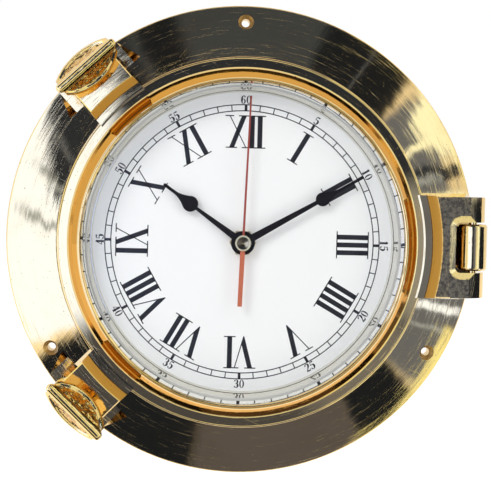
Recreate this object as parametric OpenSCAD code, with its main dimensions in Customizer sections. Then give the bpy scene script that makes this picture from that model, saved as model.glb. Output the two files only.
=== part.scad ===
// Ship's clock: a cast brass porthole case with a hinged glazed door, two
// thumb screws that hold the door shut, and a quartz movement behind the dial.
// Millimetres. The origin is the centre of the back, on the wall. +Z is up
// (12 o'clock) and the dial looks along -Y.

/* [Flange] */
// Outer diameter of the wall flange
flange_d = 230; // [220:1:290]
// Height of the flange's front edge above the wall
rim_h = 8; // [6:0.5:10]
// Height of the flat land that the door closes on
land_h = 22; // [21.5:0.5:28]
// Wall thickness of the flange casting
flange_t = 4; // [3:0.5:5]
// Width of the rim that meets the wall
rim_w = 4; // [3:0.5:6]
// Distance from the flange's edge to the wall screws
wall_hole_in = 8.5; // [7:0.5:11]
// Diameter of the wall screw holes
wall_hole_d = 4; // [3:0.1:5]
// Diameter of their countersinks
wall_csk_d = 7.6; // [6:0.1:10]
// Number of wall screws
wall_hole_n = 3; // [3:1:3]

/* [Dial] */
// Diameter of the dial that shows inside its ring
dial_open_d = 144.2; // [118:0.2:146]
// Width of the ring that holds the dial down
dial_ring_w = 4.7; // [4:0.1:7]
// How far the dial's face lies below the land
dial_drop = 2.5; // [2:0.1:4]
// Thickness of the dial plate
dial_t = 0.8; // [0.5:0.1:1.2]
// Flare of the bore from the dial to the lip, in degrees
flare = 12.5; // [8:0.5:16]

/* [Door] */
// Width of the door's ring outside the glass
door_ring_w = 9.5; // [8.5:0.1:14]
// Height of the door's shoulder above its back face
shoulder_t = 7.6; // [6:0.1:10]
// Height of the lip above the shoulder
lip_h = 8; // [6:0.5:11]
// Slope of the lip's outer cone from the door's axis, in degrees
lip_slope = 32; // [20:1:36]
// Height of the lugs' faces above the shoulder
lug_step = 4.5; // [3:0.5:6]
// Draft of the lugs' sides, in degrees
lug_draft = 7; // [0:1:10]
// Thickness of the glass
glass_t = 3; // [2:0.5:4]
// Width of the glass hidden in its rebate
glass_hold = 3.7; // [3:0.1:5]

/* [Hinge] */
// Radius of the hinge knuckles
knuckle_r = 6.9; // [6:0.1:8]
// Width of the flange's centre knuckle
centre_knuckle_w = 22.2; // [16:0.2:26]
// Width of the hinge lug at its face
hinge_lug_w = 48; // [44:1:60]
// Diameter of the hinge pin
hinge_pin_d = 4; // [3:0.5:5]
// Width of the bevel round the hinge lug's notch and along its outer edge
bevel_w = 3.1; // [1.5:0.1:4]
// Slope of that bevel, in degrees
bevel_tilt = 20; // [10:1:35]
// Radius of the hinge lug's outer end
lug_end_r = 8.8; // [8:0.1:10]
// Depth of the pin below the lug's face
pin_depth = 8.5; // [7.5:0.1:9.5]

/* [Thumb screws] */
// Clock angles of the two thumb screws
dog_angles = [317.5, 225];
// Distance from the flange's edge to the thumb screws
dog_in = 6.5; // [6:0.5:10]
// Width of a thumb screw lug at its face
dog_lug_w = 25.5; // [22:0.5:32]
// Width of the milled seat in the flange
seat_w = 37; // [30:1:44]
// Length of the seat from the flange's edge
seat_in = 15.5; // [13:0.5:18]
// Lean of the seat's side walls, in degrees
seat_lean = 30; // [10:1:35]
// Diameter of the screw stems
stem_d = 6; // [5:0.5:7]
// Travel of a stem as it is unscrewed
stem_travel = 6.75; // [5:0.25:7.5]
// Overall width of the thumb nut's bow
bow_w = 34.4; // [28:0.1:40]
// Thickness of the bow at its crown
bow_t = 4.8; // [4:0.1:7]
// Thickness of the bow across its lowest points
bow_foot_t = 17.4; // [12:0.1:20]
// Height of the bow above its lug
bow_h = 22; // [18:0.5:26]
// Depth of the bow from its crown to its lowest point
bow_depth = 14; // [12:0.5:16]
// Diameter of the neck between the bow and the lug
neck_d = 11; // [10:0.2:14]

/* [Movement] */
// Width and height of the movement case
case_w = 56; // [54:1:60]
// Depth of the movement case
case_d = 15.2; // [15.2:0.1:18]
// Gap between the movement and the wall
wall_gap = 2.5; // [2.5:0.1:4]
// Thickness of the case's walls
case_t = 1.2; // [1:0.1:1.5]
// Diameter of the battery
battery_d = 14.2; // [14.2:0.1:14.2]
// Length of the battery's can
battery_l = 49.2; // [49.2:0.1:49.2]

/* [Hands] */
// Gap from the dial's edge to the minute hand's point
minute_in = 6.1; // [4:0.1:14]
// How much shorter the hour hand is than the minute hand
hour_short = 18.8; // [12:0.2:24]
// Gap from the dial's edge to the second hand's point
second_in = 1.9; // [1.5:0.1:14]
// Length of the second hand's tail
second_tail = 30.4; // [16:0.2:34]
// Clock angles of the hour, minute and second hand
hand_angles = [305.7, 60.3, 2.1];
// Thickness of the hands
hand_t = 0.5; // [0.3:0.1:0.6]

/* [Fits] */
// Radial running clearance of shafts and pins
run_fit = 0.06; // [0.02:0.01:0.1]
// Radial gap between parts that are pressed or screwed together
tight_fit = 0.02; // [0.01:0.01:0.03]
// Gap between the closed door and the flange
door_gap = 0.4; // [0.3:0.1:0.6]
// Gap that keeps neighbouring faces apart
face_gap = 0.2; // [0.1:0.05:0.3]

/* [Hidden] */
$fn = 128;

// Flange, from the dial's ring outwards
flange_r = flange_d / 2;
rim_round = 1.2;
dial_h = land_h - dial_drop;
dial_back_h = dial_h - dial_t;
open_r = dial_open_d / 2;
dial_ring_r = open_r + dial_ring_w;
seat_r = dial_ring_r + face_gap;
door_back_h = land_h + door_gap;
shoulder_h = door_back_h + shoulder_t;
lip_top_h = shoulder_h + lip_h;
lug_h = shoulder_h + lug_step;
glass_back_h = dial_h + 8.7;
glass_front_h = glass_back_h + glass_t;
glass_seal_t = 0.5;
rebate_h = glass_front_h + glass_seal_t;
function bore_r(h) = open_r + (h - dial_h) * tan(flare);
glass_r = bore_r(glass_front_h) + glass_hold;
rebate_r = glass_r + 2 * face_gap;
door_r = rebate_r + door_ring_w;
land_r = door_r + 1;
slope = atan2(land_h - rim_h, flange_r - rim_round - land_r);
function flange_face_h(r) = land_h - (r - land_r) * tan(slope);
flange_web_v = flange_t / cos(slope);

// Ledge that the dial lies on, and the spigot round the movement
ledge_in = 5;
ledge_t = 2;
ledge_r = seat_r - ledge_in;
spigot_in_r = seat_r - 3;
spigot_out_r = seat_r + 1.5;
spigot_back_h = 6;

// Rubber seal in the land
seal_w = 3;
seal_groove_w = seal_w + 2 * face_gap;
seal_depth = 1.2;
seal_r = (seat_r + door_r) / 2;

// Wall screws
wall_hole_r = flange_r - wall_hole_in;
wall_boss_d = wall_csk_d + 3.4;
csk_top_h = flange_face_h(wall_hole_r + wall_csk_d / 2) - 0.3;
csk_drop = (wall_csk_d - wall_hole_d) / 2;

// Screws that hold the dial's ring
dial_screw_r = 0.9;
dial_screw_hole_r = dial_screw_r + 0.1;
dial_screw_head_r = 1.6;
dial_screw_at_r = dial_ring_r - 1.9;

// Lip of the door and foot of its lugs
lip_edge_round = 0.8;
cone_foot_r = bore_r(lip_top_h) + 1.6 + lip_h * tan(lip_slope);
lip_out_r = cone_foot_r - lip_h * tan(lip_slope);
lug_foot_r = door_r + 1.9;
lug_foot_lean = 40;
lug_edge_drop = 0.35;
lug_edge_w = 0.5;
lug_top_r = lug_foot_r + lug_step * tan(lug_foot_lean);

// Hinge
hinge_x = flange_r - 4.7;
knuckle_gap = 0.9;
notch_gap = 2.6;
knuckle_round = 1.2;
knuckle_foot_h = 3;
notch_w = centre_knuckle_w + 2 * knuckle_gap;
notch_x = hinge_x - knuckle_r - notch_gap;
notch_round = 2.4;
bevel_drop = bevel_w * tan(bevel_tilt);
bevel_x = hinge_x - bevel_w;
lug_end_h = lug_h - bevel_drop - sqrt(pow(lug_end_r, 2) - pow(bevel_w, 2));
lug_end_round = 1.5;
hinge_h = lug_h - pin_depth;
outer_knuckle_end = hinge_lug_w / 2;
pin_len = 2 * outer_knuckle_end - 1;

// Thumb screws
dog_r = flange_r - dog_in;
boss_d = stem_d + 6;
thread_depth = 6;
stem_low_h = land_h - thread_depth;
clip_t = 0.8;
clip_r = stem_d / 2 + 2;
clip_h = door_back_h + 0.5;
clip_groove_r = stem_d / 2 - 0.7;
clip_bore_r = clip_r + 0.6;
clip_room_h = clip_h + clip_t + stem_travel + face_gap;
nut_low_h = lug_h + 0.3;
nut_top_h = lug_h + bow_h;
stem_top_h = nut_low_h + 8;
bow_end_r = 2.6;
bow_crown_h = nut_top_h - bow_t / 2;
bow_chord_h = nut_top_h - bow_end_r;
bow_low_h = nut_top_h - bow_depth;
bow_rim_w = 1.7;
bow_rim_top = 3.4;
bow_tip_r = 2;
bow_tip_x = bow_w / 2 - bow_tip_r;
bow_tip_half = 4.6;
dish_depth = 1.2;
collar_t = 1.5;
collar_w = 1;

// Movement, with heights above the wall
mv_back_h = wall_gap;
mv_front_h = mv_back_h + case_d;
inner_front_h = mv_front_h - case_t;
cover_t = 1.4;
cover_front_h = mv_back_h + cover_t;
bay_r = battery_d / 2 + 0.2;
bay_y = -case_w / 2 + 1.8 + bay_r;
battery_h = mv_back_h + 0.4 + battery_d / 2;
battery_x = -battery_l / 2 - 0.4;
contact_w = 9;
board_t = 1.2;
cavity_low_y = bay_y + bay_r + 1.2;
cavity_half_x = case_w / 2 - 1.4;
cavity_top_y = case_w / 2 - 1.4;

// Gear train: the motion wheel turns on an arbor above the centre
train_gap = 12;
coarse_m = 0.5;
fine_m = 0.4;
pinion_n = 12;
motion_n = 36;
hour_n = 48;
pivot_r = 0.8;
second_r = 0.5;
minute_r = 1.6;
hour_r = 2.5;
bush_r = 4;
shaft_r = 2;
pivot_boss_r = 2.2;
dial_nut_r = 6.4;
dial_nut_t = 2.2;
knob_r = 5.5;
knob_t = 1.3;
second_wheel_h = cover_front_h + 1.5;
centre_wheel_h = second_wheel_h + 1.8;
coarse_mesh_h = centre_wheel_h + 1.9;
fine_mesh_h = coarse_mesh_h + 2.6;
knob_at = [-train_gap, train_gap];
motion_at = [0, train_gap];

// Hands, with heights above the wall
minute_len = open_r - minute_in;
hour_len = minute_len - hour_short;
second_len = open_r - second_in;
bush_top_h = dial_h + 3.1;
hour_hand_h = dial_h + 3.5;
minute_hand_h = dial_h + 4.7;
second_hand_h = dial_h + 6.2;
second_cap_r = 3.8;
hub_r = 5.7;
cap_top_h = second_hand_h + 1.8;
cap_bore_h = cap_top_h - 1;
hand_nut_r = 3;
hand_nut_t = 0.75;
second_t = 0.3;
hand_nut_low_h = minute_hand_h + hand_t + tight_fit;

// Turns the dial frame, whose z is the height above the wall, upright
module upright() {
    rotate([90, 0, 0]) children();
}

// Places a child that points to 12 at a clock angle
module at_clock(angle) {
    rotate([0, 0, -angle]) children();
}

function arc(cx, cy, r, a0, a1, n) =
    [for (i = [0:n]) let (a = a0 + (a1 - a0) * i / n) [cx + r * cos(a), cy + r * sin(a)]];

module ring(r_in, r_out, h0, h1) {
    translate([0, 0, h0]) difference() {
        cylinder(r = r_out, h = h1 - h0);
        translate([0, 0, -1]) cylinder(r = r_in, h = h1 - h0 + 2);
    }
}

module rounded_square(w, h, r) {
    square([w - 2 * r, h], center = true);
    square([w, h - 2 * r], center = true);
    for (x = [-1, 1], y = [-1, 1]) {
        translate([x * (w / 2 - r), y * (h / 2 - r)]) circle(r);
    }
}

// A straight bar along +Y whose sides lean in towards its face
module drafted_bar(w_face, draft, y0, y1, h0, h1) {
    spread = (h1 - h0) * tan(draft);
    edge = 0.5;
    translate([0, y1, 0]) rotate([90, 0, 0]) linear_extrude(y1 - y0) polygon([
        [-w_face / 2 - spread, h0], [w_face / 2 + spread, h0],
        [w_face / 2, h1 - edge], [w_face / 2 - edge, h1],
        [-w_face / 2 + edge, h1], [-w_face / 2, h1 - edge]]);
}

// A wheel whose tooth at index 0 points along the phase angle
module gear(teeth, m, thick, phase, hub_hole) {
    root = teeth * m / 2 - 1.15 * m;
    tip = teeth * m / 2 + 0.85 * m;
    pitch = 360 / teeth;
    linear_extrude(thick) difference() {
        polygon([for (i = [0:teeth - 1], k = [0:3])
            let (a = phase + i * pitch + [-0.27, -0.1, 0.1, 0.27][k] * pitch,
                 r = (k == 0 || k == 3) ? root : tip)
            [r * cos(a), r * sin(a)]]);
        circle(hub_hole);
    }
}

// Flange
module flange_section() {
    polygon(concat(
        [[flange_r - rim_w, 0], [flange_r, 0]],
        arc(flange_r - rim_round, rim_h - rim_round, rim_round, 0, 90 - slope, 5),
        [[land_r, land_h],
         [seal_r + seal_groove_w / 2, land_h],
         [seal_r + seal_groove_w / 2, land_h - seal_depth],
         [seal_r - seal_groove_w / 2, land_h - seal_depth],
         [seal_r - seal_groove_w / 2, land_h],
         [seat_r, land_h], [seat_r, dial_back_h], [ledge_r, dial_back_h],
         [ledge_r, dial_back_h - ledge_t], [spigot_in_r, dial_back_h - 2 * ledge_t],
         [spigot_in_r, spigot_back_h], [spigot_out_r, spigot_back_h],
         [spigot_out_r, land_h - flange_t],
         [land_r - 1, land_h - flange_t],
         [flange_r - rim_w, flange_face_h(flange_r - rim_w) - flange_web_v]]));
}

// What lies between a height off the wall and the flange's face
module flange_solid_section(r_from, h_from) {
    polygon([[r_from, h_from], [flange_r - rim_w / 2, h_from],
        [flange_r - rim_w / 2, flange_face_h(flange_r - rim_w / 2) - 0.2],
        [r_from, flange_face_h(r_from) - 0.2]]);
}

module seat_pads() {
    pad_w = seat_w + 8;
    pad_in_r = flange_r - seat_in - 5;
    intersection() {
        rotate_extrude() flange_solid_section(pad_in_r, 1);
        for (a = dog_angles) {
            at_clock(a) translate([-pad_w / 2, 0, 0]) cube([pad_w, flange_r, land_h]);
        }
    }
}

module seat_cut() {
    lean = land_h * tan(seat_lean);
    translate([0, flange_r + 5, 0]) rotate([90, 0, 0])
        linear_extrude(seat_in + 5) polygon([
            [-seat_w / 2, rim_h], [seat_w / 2, rim_h],
            [seat_w / 2 + lean, rim_h + land_h], [-seat_w / 2 - lean, rim_h + land_h]]);
}

module wall_bosses() {
    intersection() {
        rotate_extrude() flange_solid_section(wall_hole_r - wall_boss_d, 0);
        for (i = [0:wall_hole_n - 1]) {
            at_clock(i * 360 / wall_hole_n) translate([0, wall_hole_r, 0])
                cylinder(d = wall_boss_d, h = land_h);
        }
    }
}

module wall_hole() {
    translate([0, wall_hole_r, -1]) cylinder(d = wall_hole_d, h = land_h + 2);
    translate([0, wall_hole_r, csk_top_h - csk_drop])
        cylinder(d1 = wall_hole_d, d2 = wall_csk_d, h = csk_drop);
    translate([0, wall_hole_r, csk_top_h]) cylinder(d = wall_csk_d, h = land_h);
}

module centre_knuckle() {
    foot_w = centre_knuckle_w - 2 * knuckle_round;
    rotate([90, 0, 0]) translate([hinge_x, hinge_h, 0]) rotate_extrude() {
        half = centre_knuckle_w / 2;
        polygon(concat([[0, -half]],
            arc(knuckle_r - knuckle_round, knuckle_round - half, knuckle_round, -90, 0, 4),
            arc(knuckle_r - knuckle_round, half - knuckle_round, knuckle_round, 0, 90, 4),
            [[0, half]]));
    }
    translate([hinge_x - knuckle_r, -foot_w / 2, knuckle_foot_h])
        cube([2 * knuckle_r, foot_w, hinge_h - knuckle_foot_h]);
}

module dial_screw_places() {
    for (i = [0:2]) at_clock(60 + 120 * i) translate([0, dial_screw_at_r, 0]) children();
}

module base_flange() {
    color("#c9a24a") upright() difference() {
        union() {
            rotate_extrude($fn = 256) flange_section();
            seat_pads();
            wall_bosses();
            centre_knuckle();
            for (a = dog_angles) {
                at_clock(a) translate([0, dog_r, 1]) cylinder(d = boss_d, h = land_h - 1);
            }
        }
        for (a = dog_angles) at_clock(a) difference() {
            seat_cut();
            translate([0, dog_r, 0]) cylinder(d = boss_d, h = land_h);
        }
        for (a = dog_angles) {
            at_clock(a) translate([0, dog_r, stem_low_h - 2])
                cylinder(r = stem_d / 2 + run_fit, h = land_h);
        }
        for (i = [0:wall_hole_n - 1]) at_clock(i * 360 / wall_hole_n) wall_hole();
        rotate([90, 0, 0]) translate([hinge_x, hinge_h, -centre_knuckle_w])
            cylinder(d = hinge_pin_d + 2 * tight_fit, h = 2 * centre_knuckle_w, $fn = 48);
        dial_screw_places() translate([0, 0, dial_back_h - ledge_t - 1])
            cylinder(r = dial_screw_r + tight_fit, h = 4, $fn = 32);
    }
}

module hinge_pin() {
    color("#b08d3c") upright() rotate([90, 0, 0])
        translate([hinge_x, hinge_h, -pin_len / 2]) cylinder(d = hinge_pin_d, h = pin_len, $fn = 48);
}

// Dial
module dial_plate() {
    color("white") upright() difference() {
        ring(bush_r + 0.2, dial_ring_r - 0.4, dial_back_h + tight_fit, dial_h);
        dial_screw_places() translate([0, 0, dial_back_h - 1]) cylinder(r = dial_screw_hole_r + 0.1, h = 4, $fn = 32);
    }
}

module dial_ring() {
    color("#c9a24a") upright() difference() {
        rotate_extrude($fn = 256) polygon([
            [open_r, dial_h + tight_fit], [dial_ring_r, dial_h + tight_fit],
            [dial_ring_r, land_h - 0.3], [dial_ring_r - 0.3, land_h],
            [bore_r(land_h), land_h]]);
        dial_screw_places() {
            translate([0, 0, dial_h - 1]) cylinder(r = dial_screw_hole_r, h = land_h, $fn = 32);
            translate([0, 0, land_h - 1])
                cylinder(r1 = dial_screw_hole_r, r2 = dial_screw_head_r + 0.1, h = 1.01, $fn = 32);
        }
    }
}

module dial_screws() {
    low_h = dial_back_h - ledge_t + 0.2;
    head_h = land_h - 0.9;
    slot_w = 0.4;
    color("#8a7a50") upright() dial_screw_places() difference() {
        union() {
            translate([0, 0, low_h]) cylinder(r = dial_screw_r, h = head_h - low_h, $fn = 32);
            translate([0, 0, head_h])
                cylinder(r1 = dial_screw_r, r2 = dial_screw_head_r, h = 0.8, $fn = 32);
        }
        translate([-2, -slot_w / 2, land_h - 0.5]) cube([4, slot_w, 1]);
    }
}

module door_gasket() {
    color("#222222") upright()
        ring(seal_r - seal_w / 2, seal_r + seal_w / 2, land_h - seal_depth, door_back_h - 0.3);
}

// Door
module bezel_section() {
    round = 1.2;
    foot = 0.5;
    groove_r = lip_out_r - 0.55;
    polygon(concat(
        [[rebate_r, door_back_h], [door_r - 0.6, door_back_h], [door_r, door_back_h + 0.6]],
        arc(door_r - round, shoulder_h - 0.4 - round, round, 0, 86, 6),
        [[cone_foot_r + foot, shoulder_h], [cone_foot_r, shoulder_h + 0.15],
         [cone_foot_r - 0.35, shoulder_h + 0.5]],
        arc(lip_out_r - lip_edge_round, lip_top_h - lip_edge_round, lip_edge_round,
            90 - 2 * lip_slope, 90, 5),
        [[groove_r - 0.3, lip_top_h], [groove_r - 0.45, lip_top_h - 0.25],
         [groove_r - 0.6, lip_top_h - 0.05]],
        [[bore_r(lip_top_h) + 0.35, lip_top_h - 0.1], [bore_r(lip_top_h), lip_top_h - 0.45],
         [bore_r(rebate_h), rebate_h], [rebate_r, rebate_h]]));
}

// Everything that the lathe leaves of the lugs
module lug_envelope(r_out) {
    rotate_extrude($fn = 256) polygon([
        [rebate_r + 1, door_back_h], [r_out, door_back_h],
        [r_out, lug_h], [lug_top_r + lug_edge_w, lug_h],
        [lug_top_r, lug_h - lug_edge_drop], [lug_foot_r, shoulder_h - 0.05],
        [door_r - 1.3, shoulder_h - 0.05], [rebate_r + 1, shoulder_h - 2]]);
}

module dog_lugs() {
    intersection() {
        lug_envelope(dog_r + 4.2);
        for (a = dog_angles) {
            at_clock(a) drafted_bar(dog_lug_w, lug_draft, rebate_r + 2.5, flange_r + 5,
                door_back_h, lug_h);
        }
    }
}

module hinge_lug() {
    intersection() {
        lug_envelope(flange_r + 5);
        at_clock(90) drafted_bar(hinge_lug_w, lug_draft, rebate_r + 1.5, bevel_x,
            door_back_h, lug_h);
    }
    intersection() {
        rotate([90, 0, 0]) translate([0, 0, -outer_knuckle_end])
            linear_extrude(2 * outer_knuckle_end) lug_end_section();
        linear_extrude(2 * lug_h)
            rounded_square(2 * (bevel_x + lug_end_r), 2 * outer_knuckle_end, lug_end_round);
    }
}

// Section of the hinge lug's outer end: x from the door's axis, y the height
module lug_end_section() {
    translate([bevel_x, lug_end_h]) circle(lug_end_r);
    translate([bevel_x - lug_end_r, door_back_h])
        square([lug_end_r + 0.1, lug_h - door_back_h - bevel_drop]);
    polygon([[bevel_x - lug_end_r, lug_end_h], [bevel_x + bevel_w, lug_end_h],
        [bevel_x + bevel_w, lug_h - bevel_drop], [bevel_x, lug_h], [bevel_x - lug_end_r, lug_h]]);
}

module notch_cut() {
    reach = 3 * lug_end_r;
    translate([notch_x + reach / 2, 0, 0]) {
        linear_extrude(2 * lug_h) rounded_square(reach, notch_w, notch_round);
        hull() {
            translate([0, 0, lug_h - bevel_drop]) linear_extrude(0.01)
                rounded_square(reach, notch_w, notch_round, $fn = 32);
            translate([0, 0, lug_h]) linear_extrude(0.01)
                rounded_square(reach + 2 * bevel_w, notch_w + 2 * bevel_w,
                    notch_round + bevel_w, $fn = 32);
        }
    }
}

module bezel_ring() {
    color("#d4af57") upright() difference() {
        union() {
            rotate_extrude($fn = 256) bezel_section();
            dog_lugs();
            hinge_lug();
        }
        notch_cut();
        for (a = dog_angles) at_clock(a) translate([0, dog_r, 0]) {
            cylinder(r = stem_d / 2 + run_fit, h = 2 * lug_h, $fn = 64);
            cylinder(r = clip_bore_r, h = clip_room_h, $fn = 64);
        }
        rotate([90, 0, 0]) translate([hinge_x, hinge_h, -outer_knuckle_end - 1])
            cylinder(d = hinge_pin_d + 2 * run_fit, h = 2 * outer_knuckle_end + 2, $fn = 48);
    }
}

module door_glass() {
    color([0.85, 0.95, 0.95, 0.35]) upright()
        translate([0, 0, glass_back_h]) cylinder(r = glass_r, h = glass_t);
}

module glass_gasket() {
    color("#1c1c1c") upright()
        ring(bore_r(rebate_h) + 0.2, glass_r, glass_front_h + tight_fit, rebate_h - tight_fit);
}

module glass_retainer() {
    low = door_back_h + 0.6;
    high = glass_back_h - tight_fit;
    color("#c9a24a") upright() difference() {
        rotate_extrude($fn = 256) polygon([
            [bore_r(low), low], [rebate_r - tight_fit, low],
            [rebate_r - tight_fit, high], [bore_r(high), high]]);
        for (i = [0:3]) at_clock(45 + 90 * i) translate([-1.5, rebate_r - 3.4, low - 1])
            cube([3, 5, 2.2]);
    }
}

// Thumb screws
// Half the bow's thickness at a height, wider towards its lowest point
function bow_half(h) =
    bow_t / 2 + (bow_foot_t - bow_t) / 2 * pow(max(0, bow_crown_h - h) / (bow_crown_h - bow_low_h), 1.1);

// Radius of an arc with half a chord and its rise
function arc_r(half_chord, rise) = (pow(half_chord, 2) + pow(rise, 2)) / (2 * rise);

// Outline of the bow seen square to its dished sides: a round belly under a
// straight crown
module bow_outline(inset, top_h) {
    half_w = bow_w / 2 - inset;
    low_h = bow_low_h + inset;
    belly_r = arc_r(half_w, bow_chord_h - low_h);
    corner = max(bow_end_r - inset, 0.6);
    intersection() {
        translate([0, low_h + belly_r]) circle(belly_r);
        translate([-bow_w, low_h - 1]) square([2 * bow_w, bow_chord_h - low_h + 1]);
        translate([-bow_w, low_h - 1]) square([2 * bow_w, top_h - low_h + 1]);
    }
    if (top_h > bow_chord_h) {
        for (x = [-1, 1]) translate([x * (half_w - corner), bow_chord_h]) circle(corner);
        translate([-half_w + corner, bow_chord_h - 0.5])
            square([2 * (half_w - corner), top_h - bow_chord_h + 0.5]);
    }
}

// Section of the bow across its length, with a rounded crown
module bow_section(inset) {
    steps = 8;
    crown = bow_t / 2 - inset;
    side = [for (i = [0:steps]) let (h = bow_low_h - 1 + (bow_crown_h - bow_low_h + 1) * i / steps)
        [bow_half(h) - inset, h]];
    polygon(concat(side, arc(0, bow_crown_h, crown, 15, 165, 10),
        [for (i = [steps:-1:0]) [-side[i][0], side[i][1]]]));
}

module bow_side_cut(inset, top_h) {
    translate([0, bow_foot_t, 0]) rotate([90, 0, 0]) linear_extrude(2 * bow_foot_t)
        bow_outline(inset, top_h);
}

module bow_length_cut(inset) {
    rotate([90, 0, 90]) translate([0, 0, -bow_w]) linear_extrude(2 * bow_w) bow_section(inset);
}

// Outline of the bow seen along the stem, a lens with round tips
module bow_plan() {
    rise = bow_foot_t / 2 + 0.5 - bow_tip_half;
    lens_r = arc_r(bow_tip_x, rise);
    off = lens_r - rise - bow_tip_half;
    linear_extrude(2 * nut_top_h) {
        intersection() {
            translate([0, off]) circle(lens_r);
            translate([0, -off]) circle(lens_r);
            square([2 * bow_tip_x, bow_w], center = true);
        }
        for (x = [-1, 1]) translate([x * bow_tip_x, 0]) circle(bow_tip_r);
    }
}

// A bow like a half-moon key, its sides dished inside a raised rim
module bow() {
    difference() {
        intersection() {
            bow_side_cut(0, nut_top_h);
            bow_length_cut(0);
            bow_plan();
        }
        difference() {
            bow_side_cut(bow_rim_w, nut_top_h - bow_rim_top);
            bow_length_cut(dish_depth);
        }
    }
}

module thumb_nut(angle) {
    color("#d4a53c") upright() at_clock(angle) translate([0, dog_r, 0]) difference() {
        union() {
            translate([0, 0, nut_low_h]) cylinder(d = neck_d + 2 * collar_w, h = collar_t);
            translate([0, 0, nut_low_h + collar_t])
                cylinder(d1 = neck_d + 2 * collar_w, d2 = neck_d, h = collar_w);
            translate([0, 0, nut_low_h]) cylinder(d = neck_d, h = bow_low_h + 2 - nut_low_h);
            bow();
        }
        translate([0, 0, nut_low_h - 1])
            cylinder(r = stem_d / 2 + tight_fit, h = stem_top_h + 0.3 - nut_low_h + 1);
    }
}

module stem(angle) {
    edge = 0.8;
    color("#b8923f") upright() at_clock(angle) translate([0, dog_r, 0]) difference() {
        union() {
            translate([0, 0, stem_low_h])
                cylinder(r1 = stem_d / 2 - edge, r2 = stem_d / 2, h = edge, $fn = 64);
            translate([0, 0, stem_low_h + edge])
                cylinder(r = stem_d / 2, h = stem_top_h - stem_low_h - edge, $fn = 64);
        }
        ring(clip_groove_r, stem_d, clip_h - 0.1, clip_h + clip_t + 0.1);
    }
}

module stem_clip(angle) {
    mouth = 2 * clip_groove_r * 0.8;
    color("#707070") upright() at_clock(angle) translate([0, dog_r, clip_h]) difference() {
        cylinder(r = clip_r, h = clip_t, $fn = 48);
        translate([0, 0, -1]) cylinder(r = clip_groove_r + run_fit, h = clip_t + 2, $fn = 48);
        translate([-mouth / 2, 0, -1]) cube([mouth, clip_r + 1, clip_t + 2]);
    }
}

module upper_thumb_nut() { thumb_nut(dog_angles[0]); }
module upper_stem() { stem(dog_angles[0]); }
module upper_stem_clip() { stem_clip(dog_angles[0]); }
module lower_thumb_nut() { thumb_nut(dog_angles[1]); }
module lower_stem() { stem(dog_angles[1]); }
module lower_stem_clip() { stem_clip(dog_angles[1]); }

// Movement
module pivot_boss(place, h0, h1) {
    translate([place[0], place[1], 0]) ring(pivot_r + run_fit, pivot_boss_r, h0, h1, $fn = 48);
}

module movement_case() {
    color("#2a2a2c") upright() {
        difference() {
            union() {
                translate([0, 0, mv_back_h]) linear_extrude(case_d) rounded_square(case_w, case_w, 4);
                translate([0, 0, mv_front_h - 0.1])
                    cylinder(r = bush_r, h = bush_top_h - mv_front_h + 0.1, $fn = 64);
            }
            translate([-cavity_half_x, cavity_low_y, mv_back_h - 1])
                cube([2 * cavity_half_x, cavity_top_y - cavity_low_y, inner_front_h - mv_back_h + 1]);
            translate([-cavity_half_x, bay_y, battery_h]) rotate([0, 90, 0])
                cylinder(r = bay_r, h = 2 * cavity_half_x, $fn = 64);
            translate([-cavity_half_x, bay_y - bay_r, mv_back_h - 1])
                cube([2 * cavity_half_x, 2 * bay_r, battery_h - mv_back_h + 1]);
            cylinder(r = hour_r + run_fit, h = 2 * land_h, $fn = 48);
        }
        pivot_boss(motion_at, inner_front_h - 2, inner_front_h);
        pivot_boss(knob_at, inner_front_h - 2, inner_front_h);
    }
}

module rear_cover() {
    w = 2 * cavity_half_x - 2 * face_gap;
    h = cavity_top_y - cavity_low_y - 2 * face_gap;
    color("#35353a") upright() {
        difference() {
            union() {
                translate([-w / 2, cavity_low_y + face_gap, mv_back_h]) cube([w, h, cover_t]);
                translate([motion_at[0], motion_at[1], mv_back_h])
                    cylinder(r = pivot_boss_r, h = cover_t + 1.2, $fn = 48);
                translate([0, 0, mv_back_h]) cylinder(r = pivot_boss_r, h = cover_t + 1, $fn = 48);
            }
            translate([knob_at[0], knob_at[1], 0]) cylinder(r = shaft_r + run_fit, h = land_h, $fn = 48);
            translate([motion_at[0], motion_at[1], mv_back_h + 0.8])
                cylinder(r = pivot_r + run_fit, h = land_h, $fn = 48);
            translate([0, 0, mv_back_h + 1]) cylinder(r = second_r + run_fit, h = land_h, $fn = 48);
        }
    }
}

module battery() {
    tip_r = 2.7;
    tip_l = 1.3;
    color("#b9bcc0") upright() translate([battery_x, bay_y, battery_h]) rotate([0, 90, 0]) {
        cylinder(d = battery_d, h = battery_l, $fn = 64);
        cylinder(r = tip_r, h = battery_l + tip_l, $fn = 48);
    }
}

module positive_contact() {
    at_x = cavity_half_x - tight_fit;
    leaf = 0.4;
    color("#c8c8c8") upright() translate([at_x - leaf, bay_y - contact_w / 2, mv_back_h + 0.6])
        cube([leaf, contact_w, battery_d - 2]);
}

// A bowed leaf that pushes on the battery's flat end
module negative_contact() {
    at_x = -cavity_half_x + tight_fit;
    leaf = 0.3;
    reach = battery_x - face_gap - at_x;
    color("#c8c8c8") upright() translate([at_x, bay_y + contact_w / 2, battery_h]) rotate([90, 0, 0])
        linear_extrude(contact_w) polygon([
            [0, -5.5], [leaf, -5.5], [leaf, -4.6], [reach, -0.6], [reach, 0.6], [leaf, 4.6],
            [leaf, 5.5], [0, 5.5], [0, 4.4], [reach - leaf, 0.4], [reach - leaf, -0.4], [0, -4.4]]);
}

module circuit_board() {
    color("#2f6b3a") upright() translate([train_gap, cavity_low_y + 0.3, cover_front_h + tight_fit]) {
        cube([cavity_half_x - train_gap - 0.3, cavity_top_y - cavity_low_y - 0.6, board_t]);
        translate([2, 1.5, board_t]) cube([9, 5, 0.9]);
    }
}

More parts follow.
